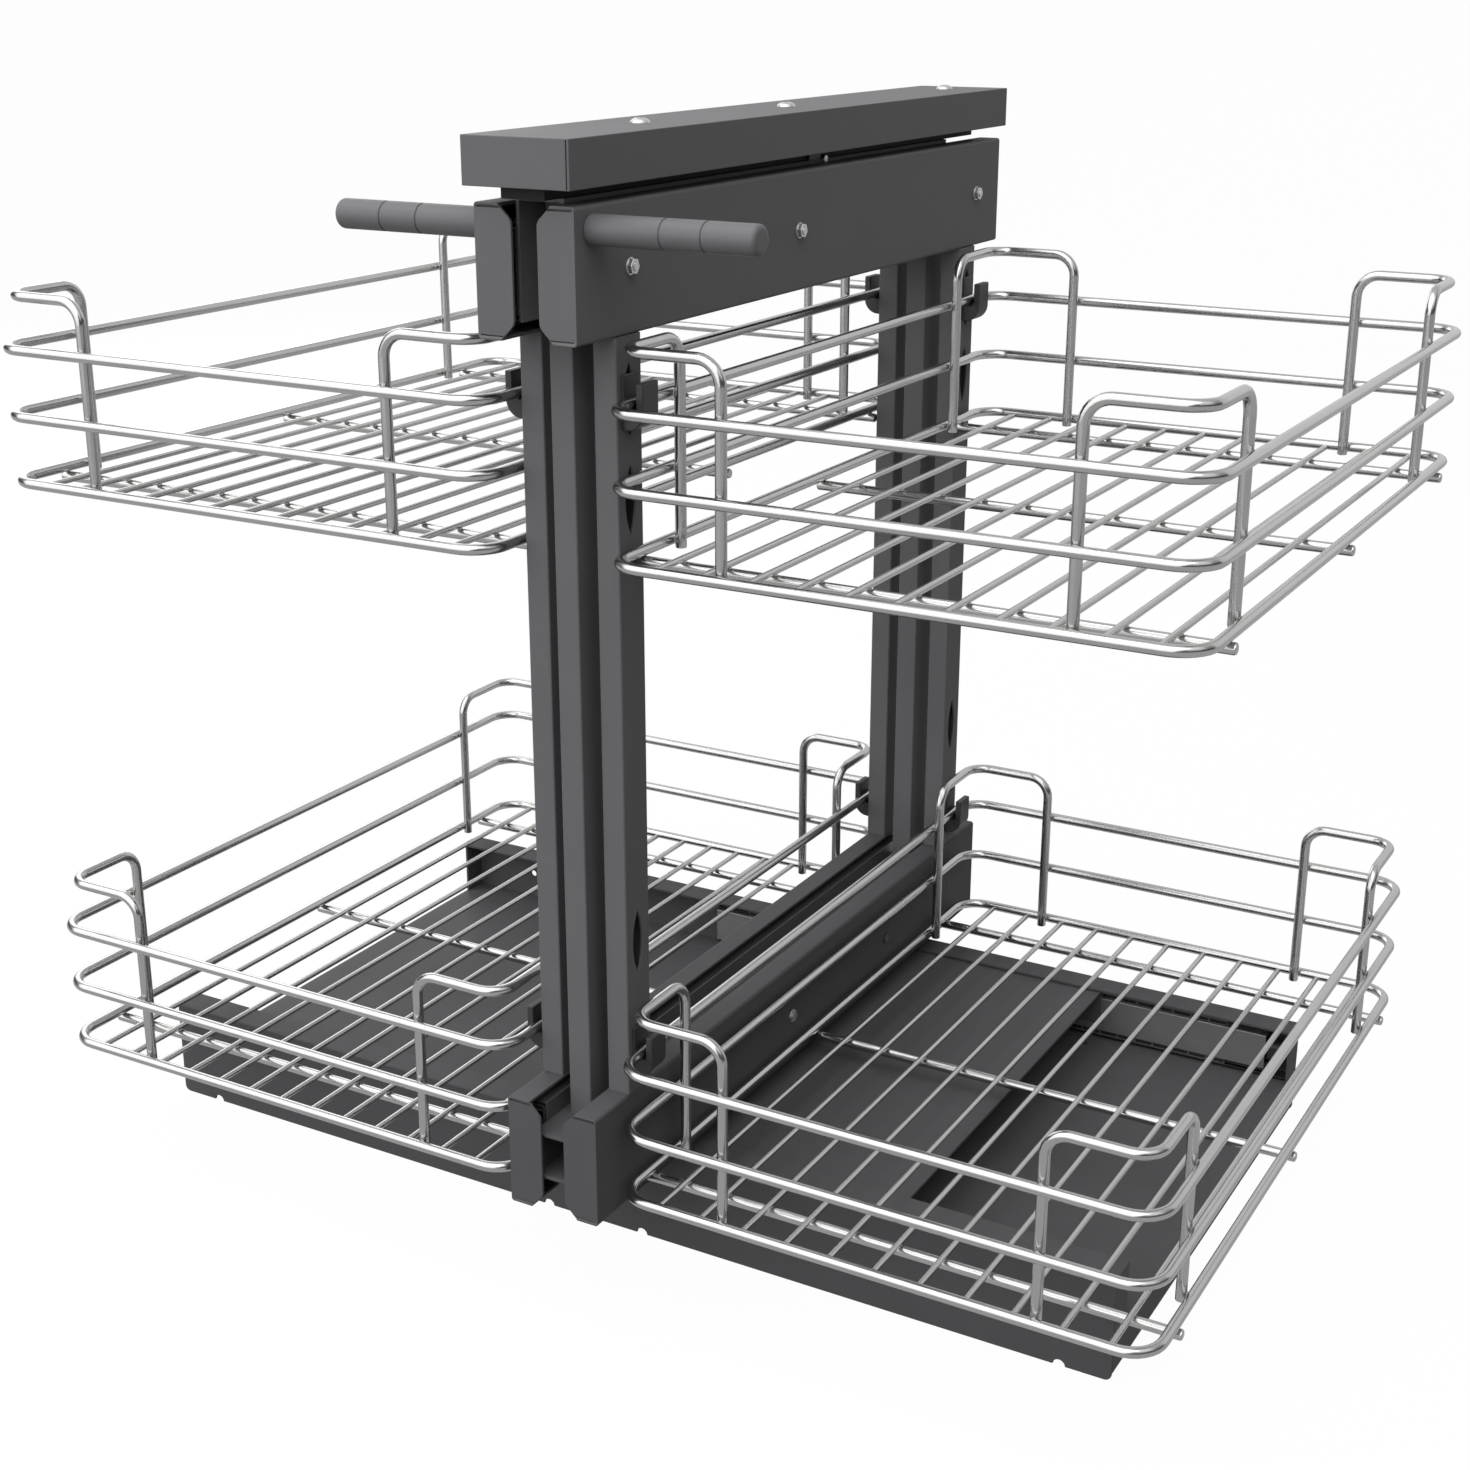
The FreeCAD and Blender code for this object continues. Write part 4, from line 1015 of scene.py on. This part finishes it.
    def catch(self) -> None:
        """Small catch with a pin on the side of the spine bar."""
        catch = Workpiece("spine_catch")
        catch.block(
            Origin.POST.at(*self.catch_low), Origin.POST.at(*self.catch_high), self.catch_edge
        )
        catch.done("carriage", PLASTIC)
        pin = Workpiece("spine_catch_pin").boss(Origin.POST.at(*self.pin_foot), RIGHT, self.pin)
        pin.done("carriage", ZINC)


@dataclass
class SideMiddles:
    """Middle rails of one side's two frame slides."""

    side: Side
    rail_edge: float = 0.3

    def build(self) -> None:
        """Makes both middle rails."""
        for height in ("bottom", "top"):
            node = f"{self.side.word}_{height}_middle_rail"
            folded(node, f"{self.side.word}_middles", self.rail_edge, RAIL)


@dataclass
class PullOutFrame:
    """One side's frame: beams, columns, handle, hooks, rails and fasteners."""

    side: Side
    web: float = 28.5
    rail_edge: float = 0.4
    column_edge: float = 0.45
    beam_height: float = 65.0
    top_beam: float = 477.0
    plate_inner: float = 7.3
    plate_depth: float = 3.0
    plate_cut: float = 8.0
    plate_reach: float = 2.0
    plate_round: float = 2.0
    plate_round_steps: int = 4
    slit_inset: float = 2.15
    slit_width: float = 0.7
    slit_depth: float = 2.6
    slit_end: float = 26.9
    handle_diameter: float = 15.0
    handle_end: float = 120.0
    handle_back: float = 15.0
    handle_up: float = 530.5
    handle_foot_edge: float = 0.5
    handle_crown: float = 2.6
    handle_crown_angles: tuple[int, ...] = (0, 20, 40, 60, 75, 90)
    handle_steps: int = 40
    grooves: tuple[float, ...] = (69.5, 91.7)
    groove_flank: tuple[tuple[float, float], ...] = ((1.0, 0.0), (0.55, 0.12), (0.35, 0.6))
    top_nuts: tuple[float, ...] = (48.0, 223.0, 464.0)
    top_nut_height: float = 510.0
    top_nut_thickness: float = 2.7
    bottom_nut: tuple[float, float] = (224.0, 30.0)
    bottom_nut_thickness: float = 1.05
    nut_turn: float = 0.4
    painted_bolt: tuple[float, float] = (357.0, 30.0)
    painted_head: Boss = Boss(radius=2.7, height=1.3, edge=0.7, sides=24)
    # Dark disc round the bolt head: painted shade of the dimple that the head sits in.
    dimple_shade_ring: Boss = Boss(radius=3.9, height=0.3, edge=0.1, sides=24)
    # Small dark discs: painted shade inside small holes near the feet of the rear columns.
    rivets: tuple[tuple[float, float], ...] = ((457.0, 33.0), (428.0, 57.0))
    rivet: Boss = Boss(radius=1.4, height=0.25, edge=0.1, sides=16)
    hook_places: tuple[float, ...] = (45.5, 454.5)
    hook_rail: float = 89.4
    hook_width: float = 15.0
    hook_outer: float = 40.9
    hook_low: float = -13.6
    hook_bend: float = 9.5
    hook_bend_steps: int = 8
    hook_edge: float = 0.7
    hook_edge_steps: int = 3
    hook_outline: tuple[tuple[float, float], ...] = (
        (28.5, -13.6), (40.9, -13.6), (40.9, 10.4), (36.9, 10.4), (36.9, -2.1), (35.7, -3.3),
        (31.1, -3.3), (29.9, -2.1), (29.9, 14.0), (28.5, 14.0),
    )
    nose_length: float = 4.5
    nose_root: float = 0.5
    nose_half: float = 3.0
    nose_low: float = 0.9
    nose_high: float = 5.9
    nose_edge: float = 0.4

    @property
    def body(self) -> str:
        """The CAD body of the frame."""
        return f"{self.side.word}_frame"

    @property
    def outwards(self) -> Vector:
        """The way from the post to this side."""
        return RIGHT * self.side.value

    def at(self, across: float, back: float, up: float) -> Vector:
        """A place of this side, counted outwards from the post's middle plane."""
        return Origin.POST.at(across * self.side.value, back, up)

    def build(self) -> None:
        """Makes every piece of the frame."""
        word = self.side.word
        # The bottom beams take the darker coat, painted shade for the low pieces; the top beams
        # keep the plain charcoal.
        for height, low, coat in (("bottom", 0.0, SHADED_LOW_COAT), ("top", self.top_beam, CHARCOAL)):
            self.beam(height, low, coat)
            folded(f"{word}_{height}_inner_rail", self.body, self.rail_edge, RAIL)
        for place in ("front", "rear"):
            folded(f"{word}_{place}_column", self.body, self.column_edge)
        for level in Level:
            self.hooks(level)
        self.handle()
        self.nuts()
        self.painted_details()

    def beam(self, height: str, low: float, coat: Finish) -> None:
        """One beam, whose front plate is parted from both flanges by a slit.

        Args:
            height: "bottom" or "top".
            low: Its underside, mm.
            coat: Its finish; the darker coat on the bottom beams is painted shade.
        """
        node = f"{self.side.word}_{height}_beam"
        beam = Workpiece(f"{node}_finished").take_cad(node)
        top = low + self.beam_height
        inner = self.plate_inner
        for up in (low + self.plate_cut, top - self.plate_cut):
            corner = box_round(
                self.at(inner - MARGIN, -MARGIN, up - self.plate_reach),
                self.at(inner + MARGIN, self.plate_depth, up + self.plate_reach),
            )
            beam.round_corner(*corner, self.plate_round, self.plate_round_steps)
        beam.soften(SHEET_EDGE)
        half = self.slit_width / 2
        for up in (low + self.slit_inset, top - self.slit_inset):
            slit = box_round(
                self.at(inner, -MARGIN, up - half), self.at(self.slit_end, MARGIN, up + half)
            )
            beam.score(*slit, -BACK, self.slit_depth)
        beam.done(self.body, coat, [node], close=False)

    def hooks(self, level: Level) -> None:
        """One level's pair of J-shaped hooks, each with a nose in its column's slot.

        Args:
            level: The level that they carry.
        """
        word = f"{self.side.word}_{level.word}"
        hooks = Workpiece(f"{word}_moulded_hooks")
        rail = self.hook_rail + level.value
        low = rail + self.hook_low
        for back in self.hook_places:
            corners = [
                self.at(across, back - self.hook_width / 2, rail + up)
                for across, up in self.hook_outline
            ]
            hooks.outline(corners, BACK, self.hook_width)
            heel = box_round(
                self.at(self.hook_outer - MARGIN, back - self.hook_width, low - MARGIN),
                self.at(self.hook_outer + MARGIN, back + self.hook_width, low + MARGIN),
            )
            hooks.round_corner(*heel, self.hook_bend, self.hook_bend_steps)
        hooks.soften(self.hook_edge, self.hook_edge_steps)
        for back in self.hook_places:
            nose = box_round(
                self.at(self.web - self.nose_length, back - self.nose_half, rail + self.nose_low),
                self.at(self.web + self.nose_root, back + self.nose_half, rail + self.nose_high),
            )
            hooks.block(*nose, self.nose_edge)
        hooks.done(self.body, PLASTIC, [f"{word}_hooks"])

    def handle(self) -> None:
        """Turned handle with two grip grooves and a rounded end."""
        radius = self.handle_diameter / 2
        foot = self.handle_foot_edge
        crown = self.handle_crown
        end = self.handle_end - self.web
        profile = [(0.0, 0.0), (0.0, radius - foot), (foot, radius)]
        for groove in self.grooves:
            along = groove - self.web
            profile += [(along - away, radius - deep) for away, deep in self.groove_flank]
            profile += [(along + away, radius - deep) for away, deep in self.groove_flank[::-1]]
        profile += [
            (end - crown * (1 - math.sin(angle)), radius - crown * (1 - math.cos(angle)))
            for angle in map(math.radians, self.handle_crown_angles)
        ]
        profile.append((end, 0.0))
        node = f"{self.side.word}_handle"
        start = self.at(self.web, self.handle_back, self.handle_up)
        handle = Workpiece(f"{node}_turned")
        handle.turned(start, self.outwards, profile, self.handle_steps)
        handle.done(self.body, GRIP, [node])

    def nuts(self) -> None:
        """Nuts on the ends of the slide bolts: washer, hexagon and bolt end."""
        nuts = Workpiece(f"{self.side.word}_frame_nuts")
        places = [(back, self.top_nut_height, self.top_nut_thickness) for back in self.top_nuts]
        places.append((*self.bottom_nut, self.bottom_nut_thickness))
        for index, (back, up, thick) in enumerate(places):
            foot = self.at(self.web, back, up)
            washer = Boss(radius=4.3, height=thick / 4, edge=0.1, sides=28)
            hexagon = Boss(radius=4.1, height=thick * 1.2, edge=thick / 8, sides=6)
            bolt_end = Boss(radius=2.35, height=thick * 1.5, edge=thick / 6, sides=20)
            nuts.boss(foot, self.outwards, washer)
            nuts.boss(foot, self.outwards, hexagon, self.nut_turn + index)
            nuts.boss(foot, self.outwards, bolt_end)
        nuts.done(self.body, ZINC)

    def painted_details(self) -> None:
        """Painted bolt head on a dark disc, painted shade of its dimple, and small dark discs at
        the rear, painted shade inside small holes.
        """
        bolt_foot = self.at(self.web, *self.painted_bolt)
        bolt = Workpiece(f"{self.side.word}_painted_bolt")
        bolt.boss(bolt_foot, self.outwards, self.painted_head)
        bolt.done(self.body, CHARCOAL)
        # Dark discs that paint the shade inside small holes, and the shade ring round the bolt.
        rivets = Workpiece(f"{self.side.word}_blind_rivets")
        # Dark ring: painted shade of the bolt's dimple.
        rivets.boss(bolt_foot, self.outwards, self.dimple_shade_ring)
        for back, up in self.rivets:
            rivets.boss(self.at(self.web, back, up), self.outwards, self.rivet)
        rivets.done(self.body, PLASTIC)


@dataclass(frozen=True)
class Plan:
    """What differs between the baskets of the two sides, mm.

    Attributes:
        outer: Outer rails from the post's middle plane.
        front: Front rails behind the beams' front face.
        first_floor_wire: Innermost floor wire from the post's middle plane.
        floor_pitch: Distance between floor wires.
        floor_wires: Their number.
    """

    outer: float
    front: float
    first_floor_wire: float
    floor_pitch: float
    floor_wires: int


PLANS = {
    Side.LEFT: Plan(
        outer=366.5, front=4.3, first_floor_wire=58.3, floor_pitch=23.7, floor_wires=13
    ),
    Side.RIGHT: Plan(
        outer=336.8, front=13.9, first_floor_wire=56.8, floor_pitch=25.8, floor_wires=11
    ),
}


@dataclass
class WireBasket:
    """One welded wire basket: three rings, four corner loops and the floor grid."""

    side: Side
    level: Level
    wire: float = 6.0
    thin_wire: float = 3.5
    thin_sides: int = 10
    inner: float = 33.3
    rear: float = 477.3
    ring_low: float = 13.4
    ring_pitch: float = 38.0
    ring_count: int = 3
    ring_corner: float = 18.0
    weld_gap: float = 0.05
    loop_foot: float = 9.5
    loop_top: float = 118.6
    loop_bend: float = 13.0
    loop_corner: float = 14.0
    loop_reach: float = 62.0
    loop_cut: float = 0.6
    loop_weld: float = 1.9
    loop_weld_squash: float = 0.75
    cross_places: tuple[float, ...] = (50.0, 248.0, 444.0)
    cross_start: float = 29.3
    cross_overrun: float = 4.2
    cross_cut: float = 1.2
    floor_cut: float = 0.2
    floor_weld: float = 1.5
    floor_weld_squash: float = 0.8

    @property
    def plan(self) -> Plan:
        """The sizes of this side's baskets."""
        return PLANS[self.side]

    @property
    def stem(self) -> str:
        """Start of the basket's node names."""
        return f"{self.side.word}_{self.level.word}_basket"

    @property
    def outwards(self) -> Vector:
        """The way from the post to the outer rail."""
        return RIGHT * self.side.value

    @property
    def ring_heights(self) -> list[float]:
        """Heights of the rings."""
        return [self.ring_low + self.ring_pitch * index for index in range(self.ring_count)]

    def at(self, across: float, back: float, up: float) -> Vector:
        """A place of this basket, counted outwards from the post's middle plane."""
        return Origin.POST.at(across * self.side.value, back, up + self.level.value)

    def build(self) -> None:
        """Makes every piece of the basket."""
        self.rings()
        self.loops()
        self.floor()

    def rings(self) -> None:
        """The three closed rings, each bent from one wire."""
        rings = Workpiece(f"{self.stem}_bent_rings")
        corner = self.ring_corner
        width = self.plan.outer - self.inner - corner * 2
        depth = self.rear - self.plan.front - corner * 2
        out = self.outwards
        for up in self.ring_heights:
            start = self.at(self.inner + corner, self.plan.front, up)
            wire = Wire(rings.bm, start, out, self.wire)
            for towards, length in ((BACK, width), (-out, depth), (-BACK, width), (out, depth)):
                wire.run(length).bend(towards, corner)
            wire.weld_shut()
        rings.done(self.stem, WIRE, [f"{self.stem}_rings"])

    def loops(self) -> None:
        """The four corner loops, with their welds to the rings."""
        loops = Workpiece(f"{self.stem}_bent_corner_loops")
        for across, inward in ((self.inner, 1), (self.plan.outer, -1)):
            for back, turn in ((self.plan.front, 1), (self.rear, -1)):
                self.loop(loops, across, inward, back, turn)
        loops.done(self.stem, WIRE, [f"{self.stem}_corner_loops"])

    def loop(
        self, loops: Workpiece, across: float, inward: int, back: float, turn: int
    ) -> None:
        """One corner loop.

        Args:
            loops: The piece that takes it.
            across: The side rail that it stands at.
            inward: 1 where the basket lies outwards of that rail, or -1.
            back: The front or rear rail that it stands at.
            turn: 1 where the basket lies behind that rail, or -1.
        """
        bend = self.loop_bend
        inset = self.wire + self.weld_gap
        climb = self.loop_top - self.loop_foot - bend
        along = self.loop_reach - inset - bend - self.loop_corner
        side_post = across + self.loop_reach * inward
        end_post = back + self.loop_reach * turn
        foot = self.at(side_post, back + inset * turn, self.loop_foot)
        wire = Wire(loops.bm, foot, UP, self.wire)
        wire.run(climb).bend(self.outwards * -inward, bend).run(along)
        wire.bend(BACK * turn, self.loop_corner).run(along)
        wire.bend(-UP, bend).run(climb).cut_ends(self.loop_cut)
        half = inset / 2
        flat = self.loop_weld_squash
        for up in self.ring_heights:
            side_weld = self.at(side_post, back + half * turn, up)
            end_weld = self.at(across + half * inward, end_post, up)
            loops.bead(side_weld, self.loop_weld, (1, flat, 1))
            loops.bead(end_weld, self.loop_weld, (flat, 1, 1))

    def floor(self) -> None:
        """Thin floor wires on three cross wires, with their welds."""
        grid = Workpiece(f"{self.stem}_welded_floor")
        plan = self.plan
        half_rail = self.wire / 2 + self.weld_gap
        cross_up = self.ring_low - self.wire - self.weld_gap
        floor_up = cross_up + (self.wire + self.thin_wire) / 2 + self.weld_gap
        weld_up = cross_up + self.wire / 2
        length = self.rear - plan.front - half_rail * 2
        for index in range(plan.floor_wires):
            across = plan.first_floor_wire + plan.floor_pitch * index
            start = self.at(across, plan.front + half_rail, floor_up)
            wire = Wire(grid.bm, start, BACK, self.thin_wire, self.thin_sides)
            wire.run(length).cut_ends(self.floor_cut)
            for back in self.cross_places:
                place = self.at(across, back, weld_up)
                grid.bead(place, self.floor_weld, (1, 1, self.floor_weld_squash))
        span = plan.outer + self.cross_overrun - self.cross_start
        for back in self.cross_places:
            start = self.at(self.cross_start, back, cross_up)
            Wire(grid.bm, start, self.outwards, self.wire).run(span).cut_ends(self.cross_cut)
        grid.done(self.stem, WIRE, [f"{self.stem}_floor_grid"])


# Studio


@dataclass(frozen=True)
class Lamp:
    """A soft square lamp.

    Attributes:
        name: Its name.
        place: Its middle, m.
        size: Its side, m.
        power: Its power, W.
    """

    name: str
    place: tuple[float, float, float]
    size: float
    power: float

    def light(self, target: Vector) -> None:
        """Puts the lamp into the scene.

        Args:
            target: The place that it looks at, m.
        """
        data = bpy.data.lights.new(self.name, "AREA")
        data.size = self.size
        data.energy = self.power
        lamp = bpy.data.objects.new(self.name, data)
        lamp.location = self.place
        aim = target - Vector(self.place)
        lamp.rotation_euler = aim.to_track_quat("-Z", "Y").to_euler()
        bpy.context.scene.collection.objects.link(lamp)


@dataclass
class Studio:
    """Pale sweep, soft light and the photograph's camera.

    Attributes:
        camera_place: The camera, mm.
        yaw: Its turn about the upright.
        pitch: Its tilt below the level.
        lens: Its focal length, mm.
        film: Width of its film, mm.
        target: The place that the lamps look at, m.
        lamps: The lamps.
        sweep_front: Front edge of the sweep, m.
        sweep_rear: Place where the sweep turns up, m.
        sweep_half: Half its width, m.
        sweep_height: Height of its wall, m.
        sweep_bend: Size of the bend between floor and wall, m.
        sweep_steps: Faces across the bend.
        paper_dark: The paper as it lights the object.
        paper_pale: The paper as the camera sees it.
        paper_seen: Share of the pale paper in what the camera sees.
        paper_glow: Share of plain white in what the camera sees.
        floor_mirrored: Share of plain white in the floor's reflections.
        wall_mirrored: What the wall's reflections have on top of the floor's.
        fibre_size: Size of the paper's slow change in tone, mm.
        fibre_share: Its strength.
        sky: Stops of the sky's grey, from straight down to straight up.
    """

    camera_place: tuple[float, float, float] = (641.316, -1130.458, 713.343)
    yaw: float = 0.5155436
    pitch: float = 0.3372035
    lens: float = 53.66
    film: float = 36.0
    target: tuple[float, float, float] = (0.0, 0.0, 0.3)
    lamps: tuple[Lamp, ...] = (
        Lamp("key", (-0.7, -1.8, 2.15), size=5.6, power=184.0),
        Lamp("fill", (1.7, -0.7, 1.8), size=1.6, power=4.5),
        Lamp("rear", (-2.6, 1.8, 1.3), size=2.0, power=21.0),
    )
    sweep_front: float = -5.0
    sweep_rear: float = 5.0
    sweep_half: float = 8.0
    sweep_height: float = 6.0
    sweep_bend: float = 2.0
    sweep_steps: int = 16
    paper_dark: tuple[float, float, float] = (0.1, 0.1, 0.101)
    paper_pale: tuple[float, float, float] = (0.9, 0.9, 0.9)
    paper_seen: float = 0.9
    paper_glow: float = 0.965
    floor_mirrored: float = 0.5
    wall_mirrored: float = 0.38
    fibre_size: float = 300.0
    fibre_share: float = 0.04
    sky: tuple[tuple[float, float], ...] = (
        (0.0, 0.12), (0.5, 0.05), (0.6, 0.08), (0.76, 0.4), (1.0, 0.9)
    )

    def build(self) -> None:
        """Sets the stage, the lamps, the world and the camera."""
        bpy.context.scene.view_settings.view_transform = "Standard"
        self.sweep()
        self.world()
        for lamp in self.lamps:
            lamp.light(Vector(self.target))
        self.camera()

    def sweep_finish(self) -> bpy.types.Material:
        """Pale paper that stays near white to the camera and keeps the object's shadow.

        Returns:
            The material.
        """
        made = bpy.data.materials.new("studio_paper")
        made.use_nodes = True
        shader = Shader(made.node_tree)
        path = shader.node("ShaderNodeLightPath")
        seen = path("Is Camera Ray")
        place = shader.node("ShaderNodeTexCoord")("Object")
        up = shader.node("ShaderNodeSeparateXYZ", None, {0: place})("Z")
        wall = shader.node("ShaderNodeClamp", None, {"Value": up})(0)
        mirrored = wall * self.wall_mirrored + self.floor_mirrored
        glow = seen * self.paper_glow + path("Is Glossy Ray") * mirrored
        pale = seen * self.paper_seen + shader.noise(self.fibre_size) * self.fibre_share
        paper = shader.node("ShaderNodeBsdfDiffuse", None, {
            "Color": shader.blend(pale, self.paper_dark, self.paper_pale),
        })
        white = shader.node("ShaderNodeEmission", None, {"Color": (1, 1, 1, 1), "Strength": 1.0})
        both = shader.node(
            "ShaderNodeMixShader", None, {0: glow, 1: paper("BSDF"), 2: white("Emission")}
        )
        shader.node("ShaderNodeOutputMaterial", None, {"Surface": both("Shader")})
        return made

    def sweep(self) -> None:
        """Floor that curves up into a backdrop behind the object."""
        bm = bmesh.new()
        front = [
            bm.verts.new((across * self.sweep_half, self.sweep_front, 0.0)) for across in (-1, 1)
        ]
        rim = [bm.edges.new(front)]
        creases = []
        length = self.sweep_rear - self.sweep_front
        for step in (BACK * length, UP * self.sweep_height):
            verts, rim = extrude_rim(bm, rim)
            bmesh.ops.translate(bm, verts=verts, vec=step)
            creases += rim
        bevel(bm, creases[:1], self.sweep_bend / MM, self.sweep_steps, clamp=False)
        for face in bm.faces:
            face.smooth = True
        mesh = bpy.data.meshes.new("studio_sweep")
        bm.to_mesh(mesh)
        bm.free()
        mesh.materials.append(self.sweep_finish())
        sweep = bpy.data.objects.new("studio_sweep", mesh)
        bpy.context.scene.collection.objects.link(sweep)

    def world(self) -> None:
        """White to the camera, and a soft sky with a dim horizon for everything else."""
        world = bpy.data.worlds.new("studio")
        world.use_nodes = True
        bpy.context.scene.world = world
        shader = Shader(world.node_tree)
        path = shader.node("ShaderNodeLightPath")
        way = shader.node("ShaderNodeTexCoord")("Generated")
        up = shader.node("ShaderNodeSeparateXYZ", None, {0: way})("Z")
        sky = shader.node("ShaderNodeValToRGB", {"stops": self.sky}, {0: up * 0.5 + 0.5})("Color")
        colour = shader.node(
            "ShaderNodeMix", {"data_type": "RGBA"},
            {COLOUR_SHARE: path("Is Camera Ray"), COLOUR_A: sky, COLOUR_B: (1.0, 1.0, 1.0, 1.0)},
        )(COLOUR_MIXED)
        light = shader.node("ShaderNodeBackground", None, {"Color": colour, "Strength": 1.0})
        shader.node("ShaderNodeOutputWorld", None, {"Surface": light("Background")})

    def camera(self) -> None:
        """The photograph's camera."""
        data = bpy.data.cameras.new("photo_camera")
        data.sensor_width = self.film
        data.lens = self.lens
        camera = bpy.data.objects.new("photo_camera", data)
        camera.location = Vector(self.camera_place) * MM
        camera.rotation_euler = (QUARTER_TURN - self.pitch, 0.0, self.yaw)
        bpy.context.scene.collection.objects.link(camera)
        bpy.context.scene.camera = camera


def main() -> None:
    """Builds the object, sub-assembly by sub-assembly, and the studio."""
    logging.basicConfig(level=logging.INFO, format="%(name)s: %(message)s", force=True)
    Studio().build()
    Base().build()
    LateralMiddles().build()
    Carriage().build()
    for side in Side:
        SideMiddles(side).build()
        PullOutFrame(side).build()
        for level in Level:
            WireBasket(side, level).build()


if __name__ == "__main__":
    main()
